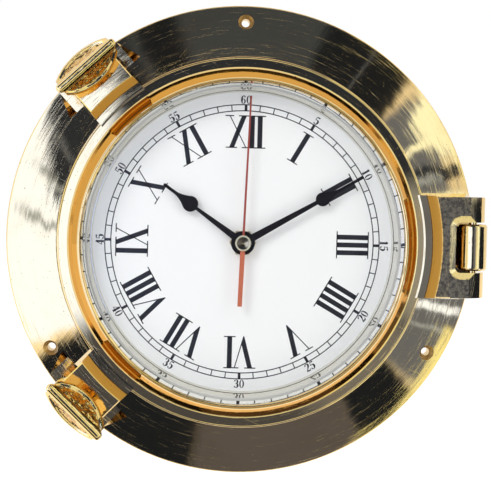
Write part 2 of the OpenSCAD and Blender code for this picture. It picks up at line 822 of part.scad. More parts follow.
module drive_coil() {
    coil_r = 3;
    coil_len = 15;
    color("#b0672f") upright()
        translate([(train_gap + cavity_half_x) / 2, 3, cover_front_h + board_t + coil_r + 0.4])
        rotate([-90, 0, 0]) {
            cylinder(r = coil_r, h = coil_len, $fn = 48);
            translate([0, 0, -1]) cylinder(r = coil_r + 0.35, h = 1.02, $fn = 48);
            translate([0, 0, coil_len - 0.02]) cylinder(r = coil_r + 0.35, h = 1, $fn = 48);
        }
}

module dial_washer() {
    color("#303030") upright()
        ring(bush_r + 0.1, bush_r + 3.4, mv_front_h + tight_fit, dial_back_h);
}

module dial_nut() {
    color("#c9a24a") upright() difference() {
        translate([0, 0, dial_h + tight_fit]) cylinder(r = dial_nut_r, h = dial_nut_t, $fn = 6);
        translate([0, 0, dial_h - 1]) cylinder(r = bush_r + tight_fit, h = 5, $fn = 64);
    }
}

// Wheels and arbors
module minute_arbor() {
    color("#c8b060") upright() difference() {
        union() {
            translate([0, 0, centre_wheel_h - 0.3])
                cylinder(r = minute_r, h = hand_nut_low_h + hand_nut_t - centre_wheel_h + 0.3, $fn = 48);
            translate([0, 0, centre_wheel_h]) gear(hour_n, fine_m, 1, 0, 0.5);
            translate([0, 0, coarse_mesh_h - 0.1]) gear(pinion_n, coarse_m, 1.9, 90, 0.5);
        }
        cylinder(r = second_r + run_fit, h = 2 * land_h, $fn = 48);
    }
}

module motion_wheel() {
    color("#e8e4da") upright() translate([motion_at[0], motion_at[1], 0]) {
        translate([0, 0, coarse_mesh_h]) gear(motion_n, coarse_m, 1.6, 5, 0.5);
        translate([0, 0, coarse_mesh_h + 1.55]) gear(pinion_n, fine_m, 2.3, 15, 0.5);
        translate([0, 0, mv_back_h + 0.9])
            cylinder(r = pivot_r, h = inner_front_h - 0.2 - mv_back_h - 0.9, $fn = 32);
        translate([0, 0, cover_front_h + 1.4])
            cylinder(r = 1.6, h = coarse_mesh_h - cover_front_h - 1.3, $fn = 32);
    }
}

module hour_wheel() {
    color("#e8e4da") upright() difference() {
        union() {
            translate([0, 0, fine_mesh_h]) gear(hour_n, fine_m, 1, 0, 0.5);
            translate([0, 0, fine_mesh_h - 0.2])
                cylinder(r = hour_r, h = hour_hand_h + hand_t + 0.3 - fine_mesh_h, $fn = 48);
        }
        cylinder(r = minute_r + run_fit, h = 2 * land_h, $fn = 48);
    }
}

module second_arbor() {
    color("#c8b060") upright() {
        translate([0, 0, mv_back_h + 1.1])
            cylinder(r = second_r, h = cap_bore_h - 0.05 - mv_back_h - 1.1, $fn = 32);
        translate([0, 0, second_wheel_h]) gear(60, 0.3, 0.8, 0, 0.3);
        translate([0, 0, second_wheel_h - 0.3]) cylinder(r = 1.4, h = 1.5, $fn = 32);
    }
}

module setting_knob() {
    color("#d8d4c8") upright() translate([knob_at[0], knob_at[1], 0]) {
        difference() {
            translate([0, 0, mv_back_h - 0.2 - knob_t]) cylinder(r = knob_r, h = knob_t, $fn = 64);
            for (i = [0:11]) rotate([0, 0, i * 30]) translate([knob_r + 0.2, 0, 0])
                cylinder(r = 0.6, h = land_h, $fn = 24);
        }
        translate([0, 0, mv_back_h - 0.3])
            cylinder(r = shaft_r, h = coarse_mesh_h - mv_back_h + 0.3, $fn = 48);
        translate([0, 0, coarse_mesh_h - 0.1]) gear(pinion_n, coarse_m, 1.8, 0, 0.5);
        translate([0, 0, coarse_mesh_h])
            cylinder(r = pivot_r, h = inner_front_h - 0.2 - coarse_mesh_h, $fn = 32);
    }
}

// Hands
// Outline of a hand that points to 12: a tapered shaft, a round bulb and a
// drawn-out point with hollow sides
module pointed_hand(len, bulb_at, bulb_r, w_root, w_neck, w_tip, draw) {
    steps = 8;
    polygon([[-w_root / 2, 0], [w_root / 2, 0], [w_neck / 2, bulb_at], [-w_neck / 2, bulb_at]]);
    translate([0, bulb_at]) circle(bulb_r, $fn = 48);
    polygon(concat(
        [for (i = [0:steps]) let (t = i / steps)
            [w_tip / 2 + (bulb_r * 0.86 - w_tip / 2) * pow(1 - t, 1.9), bulb_at + bulb_r * 0.5 + t * draw]],
        [[w_tip / 2, len - w_tip / 2], [-w_tip / 2, len - w_tip / 2]],
        [for (i = [steps:-1:0]) let (t = i / steps)
            [-w_tip / 2 - (bulb_r * 0.86 - w_tip / 2) * pow(1 - t, 1.9), bulb_at + bulb_r * 0.5 + t * draw]]));
    translate([0, len - w_tip / 2]) circle(w_tip / 2, $fn = 24);
}

module hour_hand() {
    color("#111111") upright() at_clock(hand_angles[0]) translate([0, 0, hour_hand_h])
        linear_extrude(hand_t) difference() {
            union() {
                pointed_hand(len = hour_len, bulb_at = hour_len * 0.665, bulb_r = 3.8,
                    w_root = 3.6, w_neck = 1.3, w_tip = 1.5, draw = hour_len * 0.16);
                circle(hub_r, $fn = 64);
            }
            circle(hour_r + tight_fit, $fn = 48);
        }
}

module minute_hand() {
    color("#111111") upright() at_clock(hand_angles[1]) translate([0, 0, minute_hand_h])
        linear_extrude(hand_t) difference() {
            union() {
                pointed_hand(len = minute_len, bulb_at = minute_len * 0.66, bulb_r = 3.35,
                    w_root = 3.7, w_neck = 1.8, w_tip = 1.4, draw = minute_len * 0.12);
                circle(hub_r, $fn = 64);
            }
            circle(minute_r + tight_fit, $fn = 48);
        }
}

module hand_nut() {
    color("#c9a24a") upright() difference() {
        translate([0, 0, hand_nut_low_h]) cylinder(r = hand_nut_r, h = hand_nut_t, $fn = 6);
        cylinder(r = minute_r + tight_fit, h = 2 * land_h, $fn = 48);
    }
}

module second_hand() {
    tip_w = 0.8;
    root_w = 1.1;
    tail_root_w = 2.35;
    tail_w = 2.15;
    color("#c8402a") upright() at_clock(hand_angles[2]) translate([0, 0, second_hand_h])
        linear_extrude(second_t) difference() {
            union() {
                polygon([[-root_w / 2, 0], [root_w / 2, 0], [tip_w / 2, second_len], [-tip_w / 2, second_len]]);
                polygon([[-tail_root_w / 2, 0], [-tail_w / 2, -second_tail],
                    [tail_w / 2, -second_tail], [tail_root_w / 2, 0]]);
                circle(2.4, $fn = 48);
            }
            circle(second_r + tight_fit, $fn = 32);
        }
}

module second_cap() {
    low = second_hand_h + second_t + tight_fit;
    edge = 0.7;
    color("#d4af57") upright() difference() {
        rotate_extrude($fn = 64) polygon([
            [0, low], [second_cap_r, low], [second_cap_r, cap_top_h - edge],
            [second_cap_r - edge, cap_top_h], [0, cap_top_h - 0.4]]);
        cylinder(r = second_r + tight_fit, h = cap_bore_h, $fn = 32);
    }
}

base_flange();
hinge_pin();
dial_plate();
dial_ring();
dial_screws();
door_gasket();
bezel_ring();
door_glass();
glass_gasket();
glass_retainer();
upper_thumb_nut();
upper_stem();
upper_stem_clip();
lower_thumb_nut();
lower_stem();
lower_stem_clip();
movement_case();
rear_cover();
battery();
positive_contact();
negative_contact();
circuit_board();
drive_coil();
dial_washer();
dial_nut();
minute_arbor();
motion_wheel();
hour_wheel();
second_arbor();
setting_knob();
hour_hand();
minute_hand();
hand_nut();
second_hand();
second_cap();
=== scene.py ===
"""A brass ship clock: the looks of its pieces, a pale studio floor and the camera of the photograph."""

import math

import bmesh
import bpy
from mathutils import Matrix, Vector, noise


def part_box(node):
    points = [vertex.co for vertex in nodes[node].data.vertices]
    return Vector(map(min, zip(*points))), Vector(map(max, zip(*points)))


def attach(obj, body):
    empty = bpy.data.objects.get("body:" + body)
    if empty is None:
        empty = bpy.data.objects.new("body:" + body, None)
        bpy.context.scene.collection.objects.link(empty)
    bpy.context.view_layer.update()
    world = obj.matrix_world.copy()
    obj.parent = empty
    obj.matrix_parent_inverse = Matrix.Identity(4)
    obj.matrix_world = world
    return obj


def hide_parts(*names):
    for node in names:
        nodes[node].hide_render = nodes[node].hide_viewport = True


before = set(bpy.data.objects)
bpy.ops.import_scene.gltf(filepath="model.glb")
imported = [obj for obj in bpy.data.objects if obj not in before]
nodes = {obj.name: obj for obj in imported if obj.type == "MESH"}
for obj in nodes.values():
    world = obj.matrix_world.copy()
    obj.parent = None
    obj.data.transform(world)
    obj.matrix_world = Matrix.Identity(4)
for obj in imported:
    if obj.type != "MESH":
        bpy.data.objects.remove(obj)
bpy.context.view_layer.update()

MM = 0.001
DIAL_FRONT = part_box("dial_plate")[0].y

# Camera, measured from the photograph
CAMERA_DISTANCE = 620 * MM
CAMERA_AZIMUTH = math.radians(-2.5)
CAMERA_ELEVATION = math.radians(2.8)
CAMERA_ROLL = math.radians(1.1)
CAMERA_LENS = 91.3
AIM = Vector((2.25 * MM, 0.0, 0.3 * MM))

# Printing on the dial, in millimetres
DIAL_TURN = math.radians(0.4)
INK_T = 0.03
INK_SINK = 0.005
TRACK_OUT_R = 66.2
TRACK_IN_R = 63.3
TRACK_LINE = 0.50
TICK_W = 0.48
FIVE_TICK_W = 1.30
NUMERAL_FOOT_R = 45.4
NUMERAL_H = 15.7
THICK_W = 2.35
THIN_W = 0.52
SERIF_T = 0.52
DIGIT_MID_R = 68.6
DIGIT_H = 4.0
# A digit's room in digit heights, and how much bolder than drawn its strokes are printed
DIGIT_STEP = 0.66
DIGIT_BOLD = 1.35
# Half widths of the serifs, and how far the strokes of the X and the V lean from the letter's middle
I_SERIF = 2.8
THICK_SERIF = 2.7
THIN_SERIF = 2.1
X_THICK_LEAN = 3.0
X_THIN_LEAN = 4.1
V_LEAN = 3.8
V_FOOT_SHIFT = -0.5
V_FOOT_HALF = 0.25


def link(obj):
    """Puts an object in the scene."""
    bpy.context.scene.collection.objects.link(obj)
    return obj


def mesh_object(name, bm, material, body):
    """Turns a bmesh, in the row frame, into a piece that rides on a body."""
    bmesh.ops.recalc_face_normals(bm, faces=bm.faces)
    mesh = bpy.data.meshes.new(name)
    bm.to_mesh(mesh)
    bm.free()
    mesh.materials.append(material)
    obj = link(bpy.data.objects.new(name, mesh))
    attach(obj, body)


def make_camera():
    """A short telephoto camera in front of the dial, a little above it and slightly rolled."""
    data = bpy.data.cameras.new("camera")
    data.sensor_fit = "HORIZONTAL"
    data.sensor_width = 36.0
    data.lens = CAMERA_LENS
    camera = link(bpy.data.objects.new("camera", data))
    level = math.cos(CAMERA_ELEVATION)
    back = Vector((math.sin(CAMERA_AZIMUTH) * level, -math.cos(CAMERA_AZIMUTH) * level,
                   math.sin(CAMERA_ELEVATION)))
    camera.location = AIM + back * CAMERA_DISTANCE
    facing = (-back).to_track_quat("-Z", "Y").to_matrix().to_4x4()
    camera.rotation_euler = (facing @ Matrix.Rotation(CAMERA_ROLL, 4, "Z")).to_euler()
    bpy.context.scene.camera = camera


class Nodes:
    """Short calls for a material's node tree."""

    def __init__(self, tree):
        self.tree = tree

    def add(self, kind, **values):
        """A node with some of its settings or inputs given."""
        node = self.tree.nodes.new(kind)
        for key, value in values.items():
            if hasattr(node, key):
                setattr(node, key, value)
            else:
                self.put(node.inputs[key.replace("_", " ")], value)
        return node

    def put(self, socket, value):
        """Links a socket to an input, or sets the input to a constant."""
        if isinstance(value, bpy.types.NodeSocket):
            self.tree.links.new(value, socket)
        else:
            socket.default_value = value

    def math(self, operation, *values):
        """A sum, a product or the like of sockets and constants."""
        node = self.add("ShaderNodeMath", operation=operation)
        for socket, value in zip(node.inputs, values):
            self.put(socket, value)
        return node.outputs[0]

    def ramp(self, value, low, high, out_low=0.0, out_high=1.0):
        """A smooth step between two values."""
        node = self.add("ShaderNodeMapRange", interpolation_type="SMOOTHSTEP")
        for name, number in (("Value", value), ("From Min", low), ("From Max", high),
                             ("To Min", out_low), ("To Max", out_high)):
            self.put(node.inputs[name], number)
        return node.outputs["Result"]

    def mix(self, share, first, second):
        """A colour between two others, with a share of the second."""
        node = self.add("ShaderNodeMix", data_type="RGBA")
        self.put(node.inputs["Factor"], share)
        self.put(node.inputs["A"], colour(first))
        self.put(node.inputs["B"], colour(second))
        return node.outputs["Result"]

    def noise(self, vector, scale, detail=2.0, rough=0.5):
        """Cloudy noise from 0 to 1, with a number of cells to a unit of its vector."""
        node = self.add("ShaderNodeTexNoise", Vector=vector, Scale=scale, Detail=detail, Roughness=rough)
        return node.outputs["Fac"]

    def bump(self, height, distance, normal=None):
        """A relief of a given depth, over another relief if there is one."""
        node = self.add("ShaderNodeBump", Distance=distance, Strength=1.0)
        self.put(node.inputs["Height"], height)
        if normal is not None:
            self.put(node.inputs["Normal"], normal)
        return node.outputs["Normal"]

    def place(self):
        """The point in the row frame, at rest."""
        return self.add("ShaderNodeTexCoord").outputs["Object"]

    def parts(self, vector):
        """A vector's x, y and z."""
        return self.add("ShaderNodeSeparateXYZ", Vector=vector).outputs

    def length(self, a, b):
        """The length of a flat vector."""
        return self.math("SQRT", self.math("ADD", self.math("MULTIPLY", a, a), self.math("MULTIPLY", b, b)))

    def vector(self, x, y, z):
        """A vector from its x, y and z."""
        node = self.add("ShaderNodeCombineXYZ")
        for socket, value in zip(node.inputs, (x, y, z)):
            self.put(socket, value)
        return node.outputs[0]


def colour(value):
    """Adds full opacity to a plain colour; a socket stays as it is."""
    return (*value, 1.0) if isinstance(value, tuple) and len(value) == 3 else value


def shader(name, roughness=0.5, metallic=0.0):
    """A new material, its node calls and its Principled shader."""
    material = bpy.data.materials.new(name)
    material.use_nodes = True
    tree = Nodes(material.node_tree)
    surface = material.node_tree.nodes["Principled BSDF"]
    surface.inputs["Roughness"].default_value = roughness
    surface.inputs["Metallic"].default_value = metallic
    return material, tree, surface


def empty_material(name):
    """A new material without nodes, and its node calls."""
    material = bpy.data.materials.new(name)
    material.use_nodes = True
    material.node_tree.nodes.clear()
    return material, Nodes(material.node_tree)


def mix_shaders(tree, share, first, second):
    """Makes a material's surface from two shaders, and a share of the second."""
    both = tree.add("ShaderNodeMixShader")
    for socket, value in zip(both.inputs, (share, first.outputs[0], second.outputs[0])):
        tree.put(socket, value)
    out = tree.add("ShaderNodeOutputMaterial")
    tree.put(out.inputs["Surface"], both.outputs[0])


def lathe_coordinates(tree):
    """Radius about the clock's axis, the unit direction from that axis, and the height off the wall."""
    x, y, z = tree.parts(tree.place())
    radius = tree.length(x, z)
    outward = (tree.math("DIVIDE", x, radius), tree.math("DIVIDE", z, radius))
    return radius, outward, tree.math("MULTIPLY", y, -1.0)


def round_streaks(tree, radius, outward, around, across, detail=2.0):
    """Noise drawn out round the clock: cells to a radius around it, and cells to a metre across."""
    turned = [tree.math("MULTIPLY", part, around) for part in outward]
    return tree.noise(tree.vector(*turned, tree.math("MULTIPLY", radius, across)), 1.0, detail, 0.6)


def zone(tree, value, low, high, soft=0.15 * MM):
    """1 between two values, 0 outside them."""
    return tree.math("MULTIPLY", tree.ramp(value, low - soft, low + soft),
                     tree.ramp(value, high - soft, high + soft, 1.0, 0.0))


def straight_cells(tree, heading, along, across):
    """Two coordinates of the front face, along a heading and across it, scaled to cells to a metre."""
    x, _, z = tree.parts(tree.place())
    c, s = math.cos(heading), math.sin(heading)
    return (tree.math("ADD", tree.math("MULTIPLY", x, c * along), tree.math("MULTIPLY", z, s * along)),
            tree.math("ADD", tree.math("MULTIPLY", x, -s * across), tree.math("MULTIPLY", z, c * across)))


def brush_strokes(tree, heading):
    """Fine straight strokes of a polishing cloth."""
    cells = straight_cells(tree, heading, 40.0, 900.0)
    return tree.noise(tree.vector(*cells, 0.0), 1.0, 3.0, 0.65)


def scratches(tree, heading, share=0.755):
    """Sparse straight hairlines in one direction."""
    cells = straight_cells(tree, heading, 45.0, 4200.0)
    return tree.ramp(tree.noise(tree.vector(*cells, heading), 1.0, 1.0), share, share + 0.06)


BRASS = (0.83, 0.60, 0.27)
BRASS_DULL = (0.74, 0.50, 0.21)
BRASS_DEEP = (0.20, 0.12, 0.06)
# Deep orange painted on the door's inner cone as a reflection of brass mirrored in brass
PAINTED_CONE_REFLECTION = (0.66, 0.31, 0.030)
# Orange-brown painted on the step under the lugs as a reflection of brass mirrored in brass
PAINTED_BAND_REFLECTION = (0.66, 0.36, 0.06)
BRASS_WORN = (0.36, 0.26, 0.13)
BRASS_CAST = (0.56, 0.38, 0.17)
BRASS_PALE = (0.93, 0.92, 0.87)

# Zones of the door, by radius, by height off the wall and by distance right of the axis
BORE_EDGE_R = 75.7 * MM
BORE_FOOT_H = 31.2 * MM
CONE_IN_R = 78.0 * MM
CONE_OUT_R = 82.5 * MM
CONE_FOOT_H = 30.2 * MM
BAND_IN_R = 90.3 * MM
BAND_OUT_R = 94.2 * MM
BAND_FOOT_H = 30.3 * MM
LUG_FACE_H = 34.4 * MM
HINGE_FACE_X = 90.0 * MM

# Wall screw holes, by clock angle
WALL_HOLES = (0, 120, 240)
WALL_HOLE_PLACE_R = 106.5 * MM
WALL_CSK_R = 3.8 * MM


def countersinks(tree):
    """1 in the countersunk wall screw holes, which are left as drilled."""
    x, _, z = tree.parts(tree.place())
    share = 0.0
    for clock in WALL_HOLES:
        turn = math.radians(clock)
        across = tree.math("SUBTRACT", x, WALL_HOLE_PLACE_R * math.sin(turn))
        along = tree.math("SUBTRACT", z, WALL_HOLE_PLACE_R * math.cos(turn))
        inside = tree.ramp(tree.length(across, along), WALL_CSK_R - 0.1 * MM, WALL_CSK_R + 0.1 * MM, 1.0, 0.0)
        share = tree.math("MAXIMUM", share, inside)
    return share


def door_finish(tree, tint, radius, outward, height):
    """The door's tints over a first one, with a painted reflection of brass in brass on its inner cone and on
    the satin step under its lugs, and a share that is 1 on that step.
    """
    # The inner cone gets a painted reflection: the deep orange of brass mirrored in brass
    on_cone = tree.math("MULTIPLY", zone(tree, radius, CONE_IN_R, CONE_OUT_R),
                        tree.ramp(height, CONE_FOOT_H, CONE_FOOT_H + 0.3 * MM))
    in_bore = tree.math("MULTIPLY", tree.ramp(radius, BORE_EDGE_R, BORE_EDGE_R + 0.1 * MM, 1.0, 0.0),
                        tree.ramp(height, BORE_FOOT_H, BORE_FOOT_H + 0.1 * MM))
    tint = tree.mix(in_bore, tree.mix(on_cone, tint, PAINTED_CONE_REFLECTION), BRASS_PALE)
    rightward = tree.math("MULTIPLY", outward[0], radius)
    hinge_face = tree.math("MULTIPLY", tree.ramp(height, LUG_FACE_H - 0.2 * MM, LUG_FACE_H),
                           tree.ramp(rightward, HINGE_FACE_X, HINGE_FACE_X + 2 * MM))
    speckle = tree.ramp(tree.noise(tree.place(), 600.0, 8.0, 0.75), 0.46, 0.57)
    tint = tree.mix(tree.math("MULTIPLY", hinge_face, speckle), tint, BRASS_WORN)
    # The step under the lugs gets a painted reflection: the orange-brown of brass mirrored in brass
    band = tree.math("MULTIPLY", zone(tree, radius, BAND_IN_R, BAND_OUT_R),
                     zone(tree, height, BAND_FOOT_H, LUG_FACE_H))
    return tree.mix(band, tint, PAINTED_BAND_REFLECTION), band


def polished_brass(name, roughness, swell, streak, crown=0.0, crown_r=0.0, door=False):
    """Hand-polished brass: faint waves and rings from the lathe, hairlines, pits and a light tarnish."""
    material, tree, surface = shader(name, roughness, 1.0)
    point = tree.place()
    radius, outward, height = lathe_coordinates(tree)
    streaks = round_streaks(tree, radius, outward, 3.0, 1100.0, 4.0)
    fine = round_streaks(tree, radius, outward, 14.0, 4200.0, 2.0)
    pits = tree.ramp(tree.noise(point, 1100.0, 1.0), 0.735, 0.79)
    hairs = tree.math("MAXIMUM", scratches(tree, 0.9), scratches(tree, -0.45))
    cloud = tree.ramp(tree.noise(point, 30.0, 5.0, 0.6), 0.45, 0.8)
    _, facing_wall, _ = tree.parts(tree.add("ShaderNodeTexCoord").outputs["Normal"])
    back = tree.ramp(facing_wall, 0.1, 0.3)

    brushed = tree.math("MULTIPLY", tree.ramp(streaks, 0.48, 0.70), tree.ramp(fine, 0.42, 0.62))
    worn = tree.math("MAXIMUM", tree.math("MULTIPLY", brushed, 0.30), tree.math("MULTIPLY", hairs, 0.14))
    worn = tree.math("ADD", worn, tree.math("MULTIPLY", back, 0.40))
    tint = tree.mix(cloud, BRASS, BRASS_DULL)
    if door:
        # On the door, the inner cone and the step under its lugs get a painted reflection of brass in brass
        tint, band = door_finish(tree, tint, radius, outward, height)
        worn = tree.math("ADD", worn, tree.math("MULTIPLY", band, 0.35))
        tree.put(surface.inputs["Metallic"], tree.ramp(band, 0.0, 1.0, 1.0, 0.5))
    else:
        worn = tree.math("ADD", worn, tree.math("MULTIPLY", countersinks(tree), 0.30))
    tree.put(surface.inputs["Base Color"], tree.mix(back, tree.mix(pits, tint, BRASS_DEEP), BRASS_CAST))
    clouded = tree.ramp(cloud, 0.0, 1.0, roughness * 0.7, roughness * 1.6)
    tree.put(surface.inputs["Roughness"], tree.math("ADD", clouded, worn))

    sand = tree.math("MULTIPLY", back, tree.noise(point, 1300.0, 4.0, 0.65))
    normal = tree.bump(sand, 0.12 * MM)
    if crown:
        off = tree.math("SUBTRACT", radius, crown_r)
        rounding = tree.math("MULTIPLY", tree.math("MULTIPLY", off, off), -crown)
        normal = tree.bump(rounding, 1.0, normal)
    waves = round_streaks(tree, radius, outward, 2.5, 150.0, 1.0)
    patch = tree.ramp(tree.noise(point, 22.0, 2.0), 0.42, 0.62)
    strokes = tree.math("MULTIPLY", brush_strokes(tree, 0.95), patch)
    marks = tree.math("SUBTRACT", 1.0, tree.math("MAXIMUM", pits, tree.math("MULTIPLY", hairs, 0.25)))
    for relief, depth in ((waves, swell), (streaks, streak), (strokes, streak * 0.6),
                          (fine, 0.002 * MM), (marks, 0.02 * MM)):
        normal = tree.bump(relief, depth, normal)
    tree.put(surface.inputs["Normal"], normal)
    return material


def cast_brass(name, roughness):
    """Polished cast brass whose dish, marked by an attribute, is left rough from the mould."""
    material, tree, surface = shader(name, roughness, 1.0)
    point = tree.place()
    dish = tree.add("ShaderNodeAttribute", attribute_name="dish").outputs["Fac"]
    grain = tree.noise(point, 420.0, 3.0, 0.6)
    cloud = tree.noise(point, 160.0, 4.0, 0.6)
    smooth = tree.mix(tree.ramp(cloud, 0.5, 0.8), (0.86, 0.62, 0.25), (0.80, 0.52, 0.19))
    rough_tint = tree.mix(tree.ramp(grain, 0.35, 0.65), (0.62, 0.34, 0.10), (0.88, 0.60, 0.22))
    tree.put(surface.inputs["Base Color"], tree.mix(dish, smooth, rough_tint))
    grained = tree.ramp(grain, 0.3, 0.7, roughness * 0.7, roughness * 1.4)
    tree.put(surface.inputs["Roughness"], tree.math("ADD", grained, tree.math("MULTIPLY", dish, 0.08)))
    normal = tree.bump(cloud, 0.05 * MM)
    tree.put(surface.inputs["Normal"], tree.bump(tree.math("MULTIPLY", grain, dish), 0.035 * MM, normal))
    return material


def plain(name, tint, roughness, metallic=0.0, grain=600.0, depth=0.01 * MM, spread=0.15):
    """A plain finish whose colour and surface vary slightly."""
    material, tree, surface = shader(name, roughness, metallic)
    point = tree.place()
    cloud = tree.noise(point, 60.0, 4.0)
    darker = tuple(channel * (1.0 - spread) for channel in tint)
    lighter = tuple(min(1.0, channel * (1.0 + spread)) for channel in tint)
    tree.put(surface.inputs["Base Color"], tree.mix(cloud, darker, lighter))
    grained = tree.noise(point, grain, 3.0)
    tree.put(surface.inputs["Roughness"], tree.ramp(grained, 0.3, 0.7, roughness * 0.85, roughness * 1.15))
    tree.put(surface.inputs["Normal"], tree.bump(grained, depth))
    return material


def glass():
    """Flat clear glass that lets light through unbent and mirrors a little."""
    material, tree = empty_material("glass")
    through = tree.add("ShaderNodeBsdfTransparent", Color=(0.99, 0.992, 0.99, 1.0))
    mirror = tree.add("ShaderNodeBsdfGlossy", Roughness=0.0)
    share = tree.add("ShaderNodeFresnel", IOR=1.14)
    mix_shaders(tree, share.outputs[0], through, mirror)
    return material


RETAINER_FACE_H = 28.1 * MM


def retainer_metal():
    """A bright turned wall whose front face, behind the glass, is satin."""
    material, tree, surface = shader("retainer_metal", 0.07, 0.8)
    _, _, height = lathe_coordinates(tree)
    face = tree.ramp(height, RETAINER_FACE_H - 0.05 * MM, RETAINER_FACE_H + 0.05 * MM)
    tree.put(surface.inputs["Base Color"], tree.mix(face, (0.77, 0.745, 0.665), (0.84, 0.83, 0.78)))
    tree.put(surface.inputs["Roughness"], tree.ramp(face, 0.0, 1.0, 0.07, 0.5))
    tree.put(surface.inputs["Metallic"], tree.ramp(face, 0.0, 1.0, 0.8, 0.1))
    return material


CAP_RIM_R = 2.9 * MM
CAP_RING_PITCH = 0.2856 * MM


def cap_brass():
    """The second hand's cap: a turned face painted darker as shade, in a rim painted pale as a highlight."""
    material, tree, surface = shader("cap_brass", 0.1, 1.0)
    radius, _, _ = lathe_coordinates(tree)
    rim = tree.ramp(radius, CAP_RIM_R, CAP_RIM_R + 0.15 * MM)
    # Painted highlight on the rim's chamfer and painted shade on the turned face, both of one brass
    tree.put(surface.inputs["Base Color"], tree.mix(rim, (0.62, 0.45, 0.22), (1.0, 0.93, 0.72)))
    tree.put(surface.inputs["Roughness"], tree.ramp(rim, 0.0, 1.0, 0.12, 0.5))
    rings = tree.math("SINE", tree.math("MULTIPLY", radius, 2 * math.pi / CAP_RING_PITCH))
    tree.put(surface.inputs["Normal"], tree.bump(rings, 0.004 * MM))
    return material


BATTERY_FLAT_END = 1.2 * MM
BATTERY_TIP_END = 2.6 * MM
BATTERY_COPPER_L = 12.5 * MM


def battery_sleeve():
    """A dry cell's black and copper sleeve between its two bare metal ends."""
    low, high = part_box("battery")
    material, tree, surface = shader("battery_sleeve", 0.3, 0.0)
    x, _, _ = tree.parts(tree.place())
    sleeve_end = high.x - BATTERY_TIP_END
    sleeve = zone(tree, x, low.x + BATTERY_FLAT_END, sleeve_end)
    copper = tree.ramp(x, sleeve_end - BATTERY_COPPER_L - 0.1 * MM, sleeve_end - BATTERY_COPPER_L + 0.1 * MM)
    cloud = tree.noise(tree.place(), 200.0, 3.0)
    wrap = tree.mix(copper, (0.015, 0.015, 0.017), (0.62, 0.27, 0.10))
    bare = tree.mix(cloud, (0.58, 0.58, 0.60), (0.68, 0.68, 0.69))
    tree.put(surface.inputs["Base Color"], tree.mix(sleeve, bare, wrap))
    tree.put(surface.inputs["Metallic"], tree.ramp(sleeve, 0.0, 1.0, 1.0, 0.25))
    return material


COIL_WIRE_D = 0.22 * MM


def coil_copper():
    """Fine enamelled wire wound side by side, each turn painted light on its crown and dark in the grooves as
    painted light and shade.
    """
    material, tree, surface = shader("coil_copper", 0.3, 1.0)
    x, _, _ = tree.parts(tree.place())
    turns = tree.math("SINE", tree.math("MULTIPLY", x, 2 * math.pi / COIL_WIRE_D))
    # Painted light on each turn's crown and painted shade in the grooves between turns
    painted_turn_light = tree.ramp(turns, -1.0, 0.2)
    tree.put(surface.inputs["Base Color"], tree.mix(painted_turn_light, (0.30, 0.10, 0.04), (0.78, 0.33, 0.14)))
    tree.put(surface.inputs["Normal"], tree.bump(turns, 0.03 * MM))
    return material


def red_paint():
    """Red lacquer, darker on the thin needle than on the tail."""
    material, tree, surface = shader("red_paint", 0.35)
    _, _, z = tree.parts(tree.place())
    cloud = tree.noise(tree.place(), 300.0, 3.0)
    tail = tree.mix(cloud, (0.50, 0.118, 0.050), (0.58, 0.152, 0.070))
    tree.put(surface.inputs["Base Color"], tree.mix(tree.ramp(z, -2 * MM, 6 * MM), tail, (0.33, 0.05, 0.03)))
    return material


def hand_paint():
    """Black enamel with a low sheen."""
    material, tree, surface = shader("hand_paint", 0.45)
    surface.inputs["Specular IOR Level"].default_value = 0.2
    point = tree.place()
    cloud = tree.noise(point, 500.0, 3.0)
    tree.put(surface.inputs["Base Color"], tree.mix(cloud, (0.006, 0.005, 0.006), (0.014, 0.011, 0.012)))
    tree.put(surface.inputs["Normal"], tree.bump(tree.noise(point, 2200.0, 2.0), 0.003 * MM))
    return material


def dial_white():
    """Satin white paint with a few specks of dust."""
    material, tree, surface = shader("dial_white", 0.32)
    point = tree.place()
    specks = tree.ramp(tree.noise(point, 900.0, 2.0), 0.70, 0.78, 0.0, 0.35)
    cloud = tree.noise(point, 18.0, 3.0)
    base = tree.mix(cloud, (0.93, 0.93, 0.93), (0.955, 0.955, 0.955))
    tree.put(surface.inputs["Base Color"], tree.mix(specks, base, (0.55, 0.54, 0.53)))
    tree.put(surface.inputs["Normal"], tree.bump(tree.noise(point, 2500.0, 2.0), 0.002 * MM))
    return material


def printing_ink():
    """Black screen ink."""
    material, tree, surface = shader("printing_ink", 0.4)
    cloud = tree.noise(tree.place(), 700.0, 3.0)
    tree.put(surface.inputs["Base Color"], tree.mix(cloud, (0.008, 0.007, 0.009), (0.022, 0.020, 0.022)))
    return material


